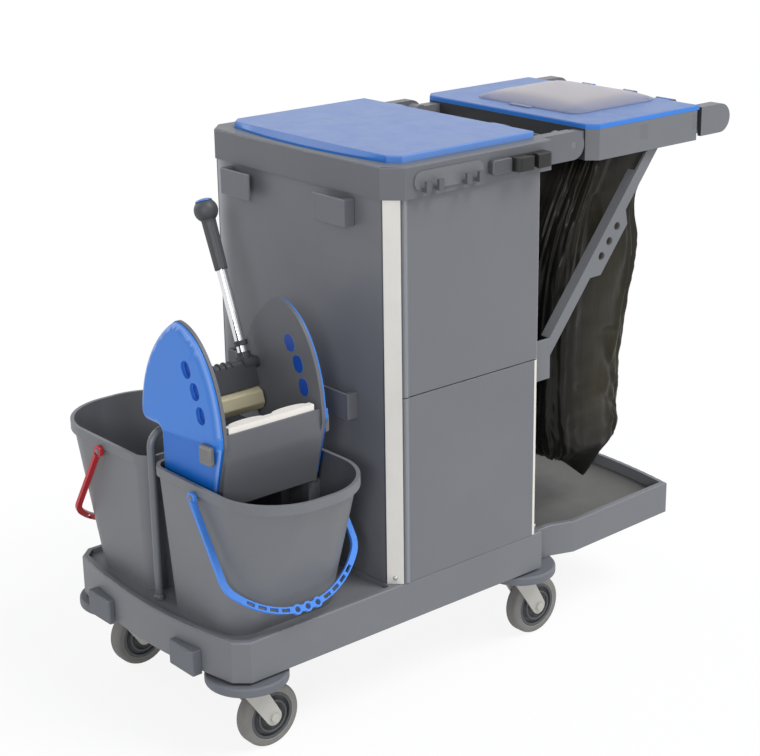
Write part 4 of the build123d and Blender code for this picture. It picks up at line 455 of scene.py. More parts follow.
def tyre_rubber():
    """Grey rubber with dusty patches, fine pits and pale edges."""
    finish = Finish("tyre_rubber", IOR=1.5)
    dust = finish.noise(30.0, detail=6.0, roughness=0.7)
    pits = finish.cells(700.0)
    tone = finish.mix(dust, screen(98, 97, 95), screen(126, 124, 120))
    return finish.dress(
        Base_Color=finish.mix(finish.rounded_faces() * 0.5, tone, screen(150, 147, 142)),
        Roughness=0.62 + dust * 0.22,
        Normal=finish.bump(pits + dust, 0.00025),
    )


GREY = screen(107, 109, 113)
PANEL_GREY = screen(104, 106, 111)
BLUE = screen(44, 118, 204)
# Painted sheen colours for the tops of the lids
SHEEN_BLUE = screen(108, 122, 158)
BAG_LID_SHEEN = screen(96, 112, 150)


def lid_plastic(name, top_sheen_colour, zones=None):
    """Smooth blue plastic with a painted sheen on its top."""
    return moulded_plastic(
        name, BLUE, roughness=0.36, grain=700.0, top_sheen=0.66, top_sheen_colour=top_sheen_colour, edge_lightening=0.4, zones=zones
    )


def panel_plastic(name, zones=None):
    """Coarsely grained grey of the cabinet's panels."""
    return moulded_plastic(name, PANEL_GREY, roughness=0.42, grain=520.0, zones=zones)


# Finishes by material slot
FINISHES = {
    "grey_plastic": moulded_plastic("grey_plastic", GREY, top_sheen=0.2),
    "panel_plastic": panel_plastic("panel_plastic"),
    "bumper_plastic": moulded_plastic("bumper_plastic", screen(97, 100, 106), roughness=0.6, top_sheen=0.2),
    "blue_plastic": lid_plastic("blue_plastic", SHEEN_BLUE),
    "red_plastic": moulded_plastic("red_plastic", screen(176, 32, 42), roughness=0.34),
    "dark_plastic": moulded_plastic("dark_plastic", screen(66, 68, 72), roughness=0.5),
    "cream_plastic": moulded_plastic("cream_plastic", screen(190, 182, 152), roughness=0.4, edge_lightening=0.2),
    "hub_plastic": moulded_plastic("hub_plastic", screen(68, 70, 73), roughness=0.5),
    "clear_plastic": clear_plastic(),
    "bag_film": bag_film(),
    "tyre_rubber": tyre_rubber(),
    "post_aluminium": brushed_metal("post_aluminium", screen(208, 205, 199), 0.46, 0.2, (1.0, 1.0, 40.0)),
    "hoop_tube": brushed_metal("hoop_tube", screen(98, 101, 106), 0.38, 0.2, (1.0, 1.0, 12.0)),
    "lever_chrome": brushed_metal("lever_chrome", screen(226, 227, 230), 0.12, 1.0, (6.0, 6.0, 6.0)),
    "steel": brushed_metal("steel", screen(176, 178, 182), 0.3, 1.0, (1.0, 30.0, 1.0)),
    "fork_steel": brushed_metal("fork_steel", screen(172, 170, 164), 0.4, 0.2, (20.0, 1.0, 1.0)),
}

# Finishes of single nodes, where they differ from their slot's
CHEEK_COVERS = ("cheek_cover_left", "cheek_cover_right")
SIDE_PANELS = (
    "side_panel_lower_far",
    "side_panel_lower_near",
    "side_panel_upper_far",
    "side_panel_upper_near",
)
COVER_BLUE = moulded_plastic(
    "cover_blue", screen(52, 118, 204), roughness=0.4, grain=700.0, edge_lightening=0.15, zones=cover_zones
)
NODE_FINISHES = {
    **dict.fromkeys(CHEEK_COVERS, COVER_BLUE),
    **dict.fromkeys(SIDE_PANELS, panel_plastic("side_panel", side_panel_zones)),
    "bag_frame": moulded_plastic("frame_grey", GREY, top_sheen=0.2, zones=frame_zones),
    "bag_lid": lid_plastic("bag_lid_blue", BAG_LID_SHEEN),
    "bag_platform": moulded_plastic("platform_grey", GREY, top_sheen=0.1, zones=platform_zones),
    "bail_near": moulded_plastic("bail_blue", screen(66, 126, 212), roughness=0.4, edge_lightening=0.3),
    "bucket_far": moulded_plastic("bucket_far_grey", GREY, top_sheen=0.2, zones=bucket_zones("bail_far_swing")),
    "bucket_near": moulded_plastic("bucket_near_grey", GREY, top_sheen=0.2, zones=bucket_zones("bail_near_swing")),
    "cabinet_lid": lid_plastic("lid_blue", SHEEN_BLUE, lid_zones),
    "clip_bracket": moulded_plastic("clip_grey", screen(76, 78, 83), roughness=0.5),
    "clip_jaw": moulded_plastic("clip_black", screen(32, 31, 31), roughness=0.5),
    "fixed_jaw": moulded_plastic("jaw_white", screen(232, 227, 220), roughness=0.42, edge_lightening=0.1),
    "frame_pins": FINISHES["grey_plastic"],
    "front_panel": panel_plastic("front_grey", front_panel_zones),
    "hook_plate": moulded_plastic("hook_grey", GREY, zones=hook_zones),
    "jaw_clips": moulded_plastic("jaw_clip_grey", screen(108, 107, 106), roughness=0.5),
    "panel_holders": moulded_plastic("holder_grey", screen(102, 104, 110), roughness=0.42, edge_lightening=0.3),
    "top_collar": moulded_plastic("collar_grey", screen(97, 99, 104), top_sheen=0.2),
    "wringer_frame": moulded_plastic("wringer_grey", screen(96, 98, 103), roughness=0.5),
}


# Making of pieces
def linked(name, data):
    """An object for a mesh, lamp or lens, in the scene."""
    holder = bpy.data.objects.new(name, data)
    bpy.context.scene.collection.objects.link(holder)
    return holder


def settled(piece):
    """Turn a piece's modifiers into plain mesh."""
    graph = bpy.context.evaluated_depsgraph_get()
    mesh = bpy.data.meshes.new_from_object(
        piece.evaluated_get(graph), preserve_all_data_layers=True, depsgraph=graph
    )
    piece.modifiers.clear()
    piece.data = mesh
    return piece


def written(shape, mesh):
    """Write a shape in the making into a mesh and let the shape go."""
    shape.to_mesh(mesh)
    shape.free()
    return mesh


def smoothed(mesh):
    """Shade all faces of a mesh smooth."""
    for face in mesh.polygons:
        face.use_smooth = True
    return mesh


def thickened(piece, thickness):
    """Give a skin its thickness, inwards."""
    wall = piece.modifiers.new("skin", "SOLIDIFY")
    wall.thickness = thickness
    wall.offset = -1.0
    return settled(piece)


def mark_rounded_faces(mesh):
    """Keep which faces came from rounding as an attribute, and give all faces one material."""
    marks = mesh.attributes.new("rounded_face", "FLOAT", "CORNER")
    for face in mesh.polygons:
        for corner in face.loop_indices:
            marks.data[corner].value = float(face.material_index)
        face.material_index = 0
    mesh.materials.pop(index=1)


def rounded(piece, finish, width):
    """Round a piece's sharp edges, shade it smooth and mark the rounded faces, for edge wear and painted edge
    highlight.
    """
    mesh = smoothed(piece.data)
    mesh.materials.clear()
    mesh.materials.append(finish)
    mesh.materials.append(finish)
    for face in mesh.polygons:
        face.material_index = 0
    bevel = piece.modifiers.new("rounded_edges", "BEVEL")
    bevel.width = width
    bevel.segments = EDGE_SEGMENTS
    bevel.limit_method = "ANGLE"
    bevel.angle_limit = EDGE_ANGLE
    bevel.material = 1
    bevel.miter_outer = "MITER_ARC"
    settled(piece)
    mark_rounded_faces(piece.data)
    piece.data.set_sharp_from_angle(angle=SHARP_ANGLE)
    weighted = piece.modifiers.new("flat_faces", "WEIGHTED_NORMAL")
    weighted.keep_sharp = True
    return settled(piece)


def finished(piece, node):
    """Let a piece stand for a CAD node, riding on its body."""
    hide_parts(node)
    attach(piece, node_body[node])


def extra(piece, body):
    """Let a piece that adds to the CAD ride on a body."""
    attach(piece, body)


def refined(node, width):
    """A CAD node with welded faces, rounded edges and its finish."""
    mesh = frame["nodes"][node].data.copy()
    shape = bmesh.new()
    shape.from_mesh(mesh)
    bmesh.ops.remove_doubles(shape, verts=shape.verts, dist=WELD)
    bmesh.ops.dissolve_limit(shape, angle_limit=FLAT_ANGLE, verts=shape.verts, edges=shape.edges)
    piece = linked(f"{node}_finished", written(shape, mesh))
    rounded(piece, NODE_FINISHES.get(node, FINISHES[node_slot[node]]), width)
    finished(piece, node)


def lathe(profile, segments):
    """Mesh of a profile of (radius, height) points turned about Z, closed at both ends."""
    shape = bmesh.new()
    turns = [2 * math.pi * step / segments for step in range(segments)]
    rings = []
    for radius, height in profile:
        if radius == 0:
            rings.append([shape.verts.new((0, 0, height))])
        else:
            points = [(radius * math.cos(turn), radius * math.sin(turn), height) for turn in turns]
            rings.append([shape.verts.new(point) for point in points])
    for lower, upper in zip(rings, rings[1:]):
        for step in range(segments):
            after = (step + 1) % segments
            corners = [lower[step % len(lower)], lower[after % len(lower)]]
            corners += [upper[after % len(upper)], upper[step % len(upper)]]
            shape.faces.new(list(dict.fromkeys(corners)))
    bmesh.ops.recalc_face_normals(shape, faces=shape.faces)
    return written(shape, bpy.data.meshes.new("turned"))


def block(shape, low, high):
    """Add a box between two corners to a shape in the making."""
    made = bmesh.ops.create_cube(shape, size=1.0)["verts"]
    bmesh.ops.scale(shape, vec=high - low, verts=made)
    bmesh.ops.translate(shape, vec=(low + high) / 2, verts=made)


# Node trees for what repeats
RING_STEPS = 40
SECTION_STEPS = 10


def copies_board(name, kinds):
    """A node tree with named inputs: its board, its inputs' wires and their identifiers."""
    tree = bpy.data.node_groups.new(name, "GeometryNodeTree")
    for way in ("INPUT", "OUTPUT"):
        tree.interface.new_socket(name="Geometry", in_out=way, socket_type="NodeSocketGeometry")
    identifiers = {}
    for label, kind in kinds.items():
        socket = tree.interface.new_socket(name=label, in_out="INPUT", socket_type=f"NodeSocket{kind}")
        identifiers[label] = socket.identifier
    board = Board(tree)
    source = tree.nodes.new("NodeGroupInput")
    wires = {label: Wire(board, source.outputs[label]) for label in ("Geometry", *kinds)}
    return board, wires, identifiers


def give_copies(board, copies, finish):
    """End a tree with its copies as plain mesh in a material."""
    plain = board.node("GeometryNodeRealizeInstances", sockets={"Geometry": copies})
    paint = board.node("GeometryNodeSetMaterial", sockets={"Geometry": plain, "Material": finish})
    result = board.tree.nodes.new("NodeGroupOutput")
    board.feed(result.inputs["Geometry"], paint)


def ring_row_tree():
    """Rings threaded on the Z axis: count, pitch, ring radius and section radius are inputs."""
    kinds = {"Count": "Int", "Pitch": "Float", "Radius": "Float", "Section": "Float", "Material": "Material"}
    board, wires, identifiers = copies_board("ring_row", kinds)
    step = board.node("ShaderNodeCombineXYZ", sockets={"Z": wires["Pitch"]})
    row = board.node("GeometryNodeMeshLine", sockets={"Count": wires["Count"], "Offset": step})
    circle = "GeometryNodeCurvePrimitiveCircle"
    ring = board.node(circle, sockets={"Resolution": RING_STEPS, "Radius": wires["Radius"]})
    section = board.node(circle, sockets={"Resolution": SECTION_STEPS, "Radius": wires["Section"]})
    tube = board.node("GeometryNodeCurveToMesh", sockets={"Curve": ring, "Profile Curve": section})
    copies = board.node("GeometryNodeInstanceOnPoints", sockets={"Points": row, "Instance": tube})
    give_copies(board, copies, wires["Material"])
    return board.tree, identifiers


def placed_copies_tree():
    """Copies of a part on the carrier's points, each turned to the point's facing attribute."""
    board, wires, identifiers = copies_board("placed_copies", {"Part": "Object", "Material": "Material"})
    part = board.node("GeometryNodeObjectInfo", sockets={"Object": wires["Part"]}, output="Geometry")
    facing = board.node(
        "GeometryNodeInputNamedAttribute",
        {"data_type": "FLOAT_VECTOR"},
        {"Name": "facing"},
        output="Attribute",
    )
    turn = board.node("FunctionNodeAlignRotationToVector", {"axis": "Z"}, {"Vector": facing})
    sockets = {"Points": wires["Geometry"], "Instance": part, "Rotation": turn}
    copies = board.node("GeometryNodeInstanceOnPoints", sockets=sockets)
    give_copies(board, copies, wires["Material"])
    return board.tree, identifiers


RING_ROW = ring_row_tree()
PLACED_COPIES = placed_copies_tree()


def grown(piece, tree_and_inputs, values):
    """Run a node tree on a piece and keep the result as its mesh."""
    tree, identifiers = tree_and_inputs
    maker = piece.modifiers.new("grown", "NODES")
    maker.node_group = tree
    for label, value in values.items():
        maker[identifiers[label]] = value
    smoothed(settled(piece).data)


def ring_row(name, place, slot, body, count, pitch, radius, section):
    """A row of rings on a body, set in place by a matrix that carries Z to the row's line."""
    piece = linked(name, bpy.data.meshes.new(name))
    sizes = {"Count": count, "Pitch": pitch, "Radius": radius, "Section": section}
    grown(piece, RING_ROW, {**sizes, "Material": FINISHES[slot]})
    piece.data.transform(place)
    extra(piece, body)


def placed_copies(name, part_mesh, finish, places):
    """Copies of a small part at points, each facing its own way, as one mesh."""
    part = linked(f"{name}_pattern", part_mesh)
    carrier = bpy.data.meshes.new(name)
    carrier.from_pydata([point for point, _ in places], [], [])
    facing = carrier.attributes.new("facing", "FLOAT_VECTOR", "POINT")
    for entry, (_, way) in zip(facing.data, places):
        entry.vector = Vector(way).normalized()
    piece = linked(name, carrier)
    grown(piece, PLACED_COPIES, {"Part": part, "Material": finish})
    piece.data.set_sharp_from_angle(angle=SHARP_ANGLE)
    bpy.data.objects.remove(part)
    return piece


# Lever: fluted grip over the tube with its ball end, domed cap and stop ring
LEVER_LEAN = math.radians(21.6)
LEVER_OFFSET = 0.080
GRIP_START = 0.1813
GRIP_BORE = 0.0101
GRIP_FOOT = 0.0125
GRIP_NECK = 0.0140
GRIP_EDGE = 0.001
GRIP_STEPS = 14
GRIP_FLUTES = 14
FLUTE_STEPS = 8
FLUTE_DEPTH = 0.0006
FLUTE_MARGIN = 0.004
BALL_RADIUS = 0.0230
BALL_HEIGHT = 0.2960
BALL_STEPS = 15
CAP_HEIGHT = 0.3130
CAP_RADIUS = 0.0165
CAP_EDGE = 0.0006
CAP_STEPS = 9
CAP_SEGMENTS = 48
LEVER_RING_HEIGHT = 0.0370
LEVER_RINGS = {"count": 3, "pitch": 0.003, "radius": 0.0108, "section": 0.0024}

lever_foot = joint_place["lever_pull"] + Vector((LEVER_OFFSET, 0, 0))
lever_frame = Matrix.Translation(lever_foot) @ Matrix.Rotation(-LEVER_LEAN, 4, "X")


def turned_piece(mesh, node):
    """A turned mesh set on the lever in place of a node."""
    mesh.transform(lever_frame)
    mesh.materials.append(FINISHES[node_slot[node]])
    smoothed(mesh).set_sharp_from_angle(angle=SHARP_ANGLE)
    finished(linked(f"{node}_finished", mesh), node)


def lever_grip():
    """Tapered grip with faint flutes and a ball end."""
    neck_end = BALL_HEIGHT - (BALL_RADIUS**2 - GRIP_NECK**2) ** 0.5
    profile = [
        (GRIP_BORE, GRIP_START),
        (GRIP_FOOT - GRIP_EDGE, GRIP_START),
        (GRIP_FOOT, GRIP_START + GRIP_EDGE),
    ]
    for step in range(1, GRIP_STEPS):
        share = step / GRIP_STEPS
        height = GRIP_START + share * (neck_end - GRIP_START)
        profile.append((GRIP_FOOT + share * (GRIP_NECK - GRIP_FOOT), height))
    low_angle = -math.acos(GRIP_NECK / BALL_RADIUS)
    high_angle = math.asin((CAP_HEIGHT - BALL_HEIGHT) / BALL_RADIUS)
    for step in range(BALL_STEPS + 1):
        turn = low_angle + (high_angle - low_angle) * step / BALL_STEPS
        profile.append((BALL_RADIUS * math.cos(turn), BALL_HEIGHT + BALL_RADIUS * math.sin(turn)))
    profile.append((0.0, CAP_HEIGHT))
    mesh = lathe(profile, FLUTE_STEPS * GRIP_FLUTES)
    for vertex in mesh.vertices:
        if GRIP_START + FLUTE_MARGIN < vertex.co.z < neck_end - FLUTE_MARGIN:
            turn = math.atan2(vertex.co.y, vertex.co.x)
            radius = vertex.co.xy.length
            depth = FLUTE_DEPTH * (0.5 + 0.5 * math.cos(GRIP_FLUTES * turn))
            vertex.co.xy *= (radius - depth) / radius
    turned_piece(mesh, "lever_grip")


def lever_cap():
    """Dome that completes the ball."""
    edge_height = CAP_HEIGHT + CAP_EDGE
    profile = [(0.0, CAP_HEIGHT), (CAP_RADIUS - CAP_EDGE, CAP_HEIGHT), (CAP_RADIUS, edge_height)]
    rise = BALL_HEIGHT + BALL_RADIUS - CAP_HEIGHT - CAP_EDGE
    for step in range(1, CAP_STEPS):
        turn = math.pi / 2 * step / CAP_STEPS
        profile.append((CAP_RADIUS * math.cos(turn), edge_height + rise * math.sin(turn)))
    profile.append((0.0, BALL_HEIGHT + BALL_RADIUS))
    turned_piece(lathe(profile, CAP_SEGMENTS), "lever_cap")


def lever_rings():
    """Stop ring round the tube above the socket."""
    place = lever_frame @ Matrix.Translation((0, 0, LEVER_RING_HEIGHT))
    ring_row("lever_stop_ring", place, "dark_plastic", "lever", **LEVER_RINGS)


lever_grip()
lever_cap()
lever_rings()

# Press shaft: ribs round the shaft between the cheeks
SHAFT_RIBS = {"count": 11, "pitch": 0.0135, "radius": 0.0118, "section": 0.0022}
SHAFT_RIBS_SHIFT = 0.025


def shaft_rings():
    """Ribs along the press shaft, from the left cheek up to the lever's socket."""
    length = (SHAFT_RIBS["count"] - 1) * SHAFT_RIBS["pitch"]
    start = joint_place["lever_pull"] + Vector((-length / 2 - SHAFT_RIBS_SHIFT, 0, 0))
    place = Matrix.Translation(start) @ Matrix.Rotation(math.pi / 2, 4, "Y")
    ring_row("press_shaft_ribs", place, "dark_plastic", "lever", **SHAFT_RIBS)


shaft_rings()

# Wheels: a raised ring on each side of every hub
HUB_RINGS = {"count": 2, "pitch": 0.0330, "radius": 0.0300, "section": 0.0025}


def hub_rings():
    """Rings on the two faces of each hub, turning with the wheel."""
    for joint, place in joint_place.items():
        if joint.startswith("roll_"):
            body = joint.replace("roll_", "wheel_")
            start = place + Vector((0, HUB_RINGS["pitch"] / 2, 0))
            turned = Matrix.Translation(start) @ Matrix.Rotation(math.pi / 2, 4, "X")
            ring_row(f"{body}_hub_rings", turned, "hub_plastic", body, **HUB_RINGS)


hub_rings()

# Wringer: a small tab on the front bevel of each cover
TAB_OFFSET = 0.1165
TAB_LOW = Vector((-0.0045, -0.2110, 0.6030))
TAB_HIGH = Vector((0.0045, -0.2010, 0.6230))


def cover_tabs():
    """One tab on each cover, as one piece."""
    shape = bmesh.new()
    for side in (-1, 1):
        shift = Vector((joint_place["lever_pull"].x + side * TAB_OFFSET, 0, 0))
        block(shape, TAB_LOW + shift, TAB_HIGH + shift)
    piece = linked("cover_tabs", written(shape, bpy.data.meshes.new("cover_tabs")))
    rounded(piece, FINISHES["blue_plastic"], EDGE_ROUND)
    extra(piece, "wringer")


cover_tabs()

# Clear hatch: a shallow dome with soft shoulders, its pull tab and hinge knuckles
HATCH_CORNER = 0.0240
HATCH_CORNER_STEPS = 10
HATCH_EDGE_INSET = 0.0005
HATCH_EDGE_RISE = 0.10
HATCH_SHOULDER = 0.0620
HATCH_SHOULDER_STEPS = 14
HATCH_SHOULDER_RISE = 0.84
HATCH_SHOULDER_CURVE = 1.9
HATCH_CROWN = ((0.085, 0.972), (0.105, 0.992), (0.118, 1.0))
HATCH_SKIN = 0.0022
HATCH_OVERLAP = 0.002
HATCH_TAB_HALF = 0.0300
HATCH_KNUCKLE_PLACE = 0.0600
HATCH_KNUCKLE_HALF = 0.0120
HATCH_KNUCKLE_RADIUS = 0.0040
HATCH_KNUCKLE_SEGMENTS = 24


def hatch_ring(shape, inset, height):
    """Rounded-rectangle ring of vertices, drawn in from the hatch's edge."""
    radius = HATCH_CORNER + 0.5 * min(inset, HATCH_SHOULDER)
    reach = Vector((HATCH_REACH - inset, HATCH_HALF - inset))
    radius = min(radius, reach.x * 0.9)
    ring = []
    for corner, (x_side, y_side) in enumerate(((1, 1), (-1, 1), (-1, -1), (1, -1))):
        for step in range(HATCH_CORNER_STEPS + 1):
            turn = (corner + step / HATCH_CORNER_STEPS) * math.pi / 2
            x = HATCH_MIDDLE + x_side * (reach.x - radius) + radius * math.cos(turn)
            y = y_side * (reach.y - radius) + radius * math.sin(turn)
            ring.append(shape.verts.new((x, y, height)))
    return ring


def hatch_dome(low, high):
    """Dome of concentric rings, thickened inwards."""
    rise = high.z - low.z
    rows = [(0.0, 0.0), (HATCH_EDGE_INSET, HATCH_EDGE_RISE)]
    for step in range(1, HATCH_SHOULDER_STEPS + 1):
        share = step / HATCH_SHOULDER_STEPS
        climb = HATCH_SHOULDER_RISE * (1 - (1 - share) ** HATCH_SHOULDER_CURVE)
        rows.append((HATCH_SHOULDER * share, HATCH_EDGE_RISE + climb))
    rows += HATCH_CROWN
    shape = bmesh.new()
    rings = [hatch_ring(shape, inset, low.z + rise * share) for inset, share in rows]
    count = len(rings[0])
    for outer, inner in zip(rings, rings[1:]):
        for step in range(count):
            after = (step + 1) % count
            shape.faces.new((outer[step], outer[after], inner[after], inner[step]))
    shape.faces.new(rings[-1])
    piece = linked("clear_hatch_finished", written(shape, bpy.data.meshes.new("clear_hatch_finished")))
    return thickened(piece, HATCH_SKIN)


def clear_hatch():
    """The dome with its pull tab and its knuckles on the hinge."""
    low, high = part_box("clear_hatch")
    piece = hatch_dome(low, high)
    shape = bmesh.new()
    shape.from_mesh(piece.data)
    tab_rear = HATCH_FRONT + HATCH_OVERLAP
    tab_high = Vector((tab_rear, HATCH_TAB_HALF, low.z + HATCH_SKIN))
    block(shape, Vector((low.x, -HATCH_TAB_HALF, low.z)), tab_high)
    hinge = joint_place["hatch_hinge"]
    span = HATCH_KNUCKLE_HALF
    radius = HATCH_KNUCKLE_RADIUS
    for middle in (-HATCH_KNUCKLE_PLACE, HATCH_KNUCKLE_PLACE):
        arm_low = Vector((HATCH_REAR - HATCH_OVERLAP, middle - span, low.z))
        block(shape, arm_low, Vector((hinge.x, middle + span, hinge.z)))
        bmesh.ops.create_cone(
            shape,
            cap_ends=True,
            segments=HATCH_KNUCKLE_SEGMENTS,
            radius1=radius,
            radius2=radius,
            depth=2 * span,
            matrix=Matrix.Translation((hinge.x, middle, hinge.z)) @ Matrix.Rotation(math.pi / 2, 4, "X"),
        )
    mesh = written(shape, piece.data)
    mesh.materials.clear()
    mesh.materials.append(FINISHES["clear_plastic"])
    smoothed(mesh).set_sharp_from_angle(angle=SHARP_ANGLE)
    finished(piece, "clear_hatch")


clear_hatch()

# Screws at the feet of the posts, seated where the CAD heads are
SCREW_RADIUS = 0.0045
SCREW_RISE = 0.0025
SCREW_SEGMENTS = 24
SCREW_PROFILE = (
    # share of the radius, share of the rise
    (0.0, 0.0),
    (1.0, 0.0),
    (1.0, 0.45),
    (0.9, 0.8),
    (0.68, 1.0),
    (0.36, 1.0),
    (0.30, 0.35),
    (0.0, 0.35),
)


def screw_head():
    """Pan head with a round driving recess."""
    return lathe([(SCREW_RADIUS * out, SCREW_RISE * up) for out, up in SCREW_PROFILE], SCREW_SEGMENTS)


def post_screws():
    """Four screw heads on the chamfered posts."""
    low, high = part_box("post_screws")
    middle = (low + high) / 2
    inset = SCREW_RISE / 2**0.5 + SCREW_RADIUS / 2**0.5
    places = []
    for end in (-1, 1):
        for side in (-1, 1):
            x = (high.x if end > 0 else low.x) - end * inset
            y = (high.y if side > 0 else low.y) - side * inset
            places.append(((x, y, middle.z), (end, side, 0)))
    finished(placed_copies("post_screws_finished", screw_head(), FINISHES["steel"], places), "post_screws")


post_screws()

# Waste bag: a lofted shell that sags, with folds that run down from the frame
BAG_LEVELS = (
    # share of the depth, front edge, rear edge, half width
    (0.00, 0.2985, 0.5605, 0.2135),
    (0.05, 0.3015, 0.5565, 0.2105),
    (0.10, 0.2985, 0.5445, 0.2075),
    (0.25, 0.2485, 0.4885, 0.2055),
    (0.37, 0.2185, 0.5005, 0.2035),
    (0.52, 0.2035, 0.4905, 0.2015),
    (0.68, 0.2005, 0.4745, 0.2005),
    (0.85, 0.2045, 0.4695, 0.1995),
    (0.95, 0.2285, 0.4605, 0.1935),
    (1.00, 0.2785, 0.4105, 0.1535),
)
BAG_EAR = Vector((0.372, -0.148))
BAG_EAR_SPREAD = 0.030
BAG_EAR_DROP = 0.049
BAG_EAR_START = 0.9
BAG_EAR_LENGTH = 0.1
BAG_CREASES = (
    # two ends of a crease on the near side, as places along X and Z
    ((0.375, 0.605), (0.412, 0.600)),
    ((0.300, 0.500), (0.430, 0.432)),
    ((0.372, 0.590), (0.425, 0.455)),
    ((0.330, 0.900), (0.300, 0.640)),
)
CREASE_DEPTH = 0.006
CREASE_WIDTH = 0.009
BAG_AROUND = 220
BAG_DOWN = 180
BAG_SQUARENESS = 6.5
BAG_SQUARENESS_LOSS = 1.5
# How often each kind of fold comes round the bag and down it, and where it starts in the noise
PLEATS = (6.5, 0.8, 4.0)
DRAPES = (2.6, 1.5, 11.0)
CROSS_FOLDS = (2.2, 9.0, 23.0)
CRUMPLES = (7.0, 16.0, 41.0)
DRAPE_SLANT = 0.5
FOLD_SHARPNESS = 1.6
FOLD_DEPTH = 0.020
CRUMPLE_DEPTH = 0.006
FOLD_CLEARANCE = 0.0015
HANG_START = 0.08
GATHER_START = 0.72
GATHER_LENGTH = 0.28
BOTTOM_SHARES = (0.75, 0.5, 0.25)
BOTTOM_LIFT = 0.006
PUCKER_DEPTH = 0.004
PUCKER_SCALE = 60
PUCKER_SHIFT = 9
BAG_SKIN = 0.0012


def bag_section(share):
    """Front, rear and half width of the bag at a share of its depth, on a smooth curve through the levels."""
    index = max(i for i, level in enumerate(BAG_LEVELS[:-1]) if level[0] <= share)
    low, high = BAG_LEVELS[index], BAG_LEVELS[index + 1]
    before = BAG_LEVELS[max(index - 1, 0)]
    after = BAG_LEVELS[min(index + 2, len(BAG_LEVELS) - 1)]
    span = high[0] - low[0]
    t = (share - low[0]) / span
    values = []
    for column in (1, 2, 3):
        slope_low = (high[column] - before[column]) / (high[0] - before[0]) * span
        slope_high = (after[column] - low[column]) / (after[0] - low[0]) * span
        values.append(
            (2 * t**3 - 3 * t**2 + 1) * low[column]
            + (t**3 - 2 * t**2 + t) * slope_low
            + (3 * t**2 - 2 * t**3) * high[column]
            + (t**3 - t**2) * slope_high
        )
    return values


def folds(turn, share, kind):
    """Noise with sharp creases, from 0 at a crease to about 1 between."""
    often, down, start = kind
    around = Vector((math.cos(turn), math.sin(turn)))
    height = noise.noise(Vector((around.x * often, around.y * often, down * share + start)))
    return min(1.0, FOLD_SHARPNESS * abs(height))


def bag_inset(turn, share):
    """How far the film lies inside its full outline: long folds, cross folds and crumples."""
    hang = min(1.0, share / HANG_START)
    gather = max(0.0, (share - GATHER_START) / GATHER_LENGTH)
    pleats = folds(turn, share, PLEATS) * (1 - 0.6 * share)
    drapes = folds(turn + DRAPE_SLANT * share, share, DRAPES)
    cross = folds(turn, share, CROSS_FOLDS)
    crumple = folds(turn, share, CRUMPLES)
    depth = FOLD_DEPTH * (0.5 * pleats + 0.6 * drapes * hang)
    depth += CRUMPLE_DEPTH * (cross * hang * 0.6 + crumple * (0.25 + gather))
    return FOLD_CLEARANCE + depth * (0.25 + 0.75 * hang)


def crease_depth(x, z):
    """How deep the near side is creased at a place."""
    place = Vector((x, z))
    depth = 0.0
    for first, second in BAG_CREASES:
        start = Vector(first)
        line = Vector(second) - start
        share = min(1.0, max(0.0, (place - start).dot(line) / line.length_squared))
        depth += CREASE_DEPTH * math.exp(-(((place - start - line * share).length / CREASE_WIDTH) ** 2))
    return depth


def bag_ring(shape, share, top, depth):
    """Ring of vertices round the bag at a share of its depth, with the corner that hangs low."""
    front, rear, half = bag_section(share)
    middle = (front + rear) / 2
    power = 2 / (BAG_SQUARENESS - BAG_SQUARENESS_LOSS * share)
    ring = []
    for step in range(BAG_AROUND):
        turn = 2 * math.pi * step / BAG_AROUND
        inset = bag_inset(turn, share)
        cosine, sine = math.cos(turn), math.sin(turn)
        x = middle + ((rear - front) / 2 - inset) * math.copysign(abs(cosine) ** power, cosine)
        y = (half - inset) * math.copysign(abs(sine) ** power, sine)
        distance = (Vector((x, y)) - BAG_EAR).length / BAG_EAR_SPREAD
        ear = max(0.0, (share - BAG_EAR_START) / BAG_EAR_LENGTH) * math.exp(-(distance**2))
        z = top - depth * share - BAG_EAR_DROP * ear
        if y < 0:
            y += crease_depth(x, z)
        ring.append(shape.verts.new((x, y, z)))
    return ring


def bridge(shape, first, second):
    """Faces between two rings of the bag."""
    for step in range(BAG_AROUND):
        after = (step + 1) % BAG_AROUND
        shape.faces.new((first[step], second[step], second[after], first[after]))


def bag_bottom(shape, outline):
    """Puckered bottom inside the lowest ring."""
    floor = [vertex.co for vertex in outline]
    centre = sum(floor, Vector()) / BAG_AROUND
    inner = outline
    for scale in BOTTOM_SHARES:
        ring = []
        for point in floor:
            place = Vector((point.x * PUCKER_SCALE, point.y * PUCKER_SCALE, scale * PUCKER_SHIFT))
            lift = Vector((0, 0, BOTTOM_LIFT * (1 - scale) + PUCKER_DEPTH * noise.noise(place)))
            ring.append(shape.verts.new(centre + (point - centre) * scale + lift))
        bridge(shape, inner, ring)
        inner = ring
    tip = shape.verts.new(centre + Vector((0, 0, BOTTOM_LIFT)))
    for step in range(BAG_AROUND):
        shape.faces.new((inner[step], tip, inner[(step + 1) % BAG_AROUND]))


def waste_bag():
    """Loft of sagging sections with a gathered bottom."""
    low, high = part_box("waste_bag")
    shape = bmesh.new()
    rings = [bag_ring(shape, row / BAG_DOWN, high.z, high.z - low.z) for row in range(BAG_DOWN + 1)]
    for upper, lower in zip(rings, rings[1:]):
        bridge(shape, upper, lower)
    bag_bottom(shape, rings[-1])
    bmesh.ops.recalc_face_normals(shape, faces=shape.faces)
    mesh = smoothed(written(shape, bpy.data.meshes.new("waste_bag_finished")))
    mesh.materials.append(FINISHES["bag_film"])
    piece = thickened(linked("waste_bag_finished", mesh), BAG_SKIN)
    finished(piece, "waste_bag")
    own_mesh(piece)


waste_bag()

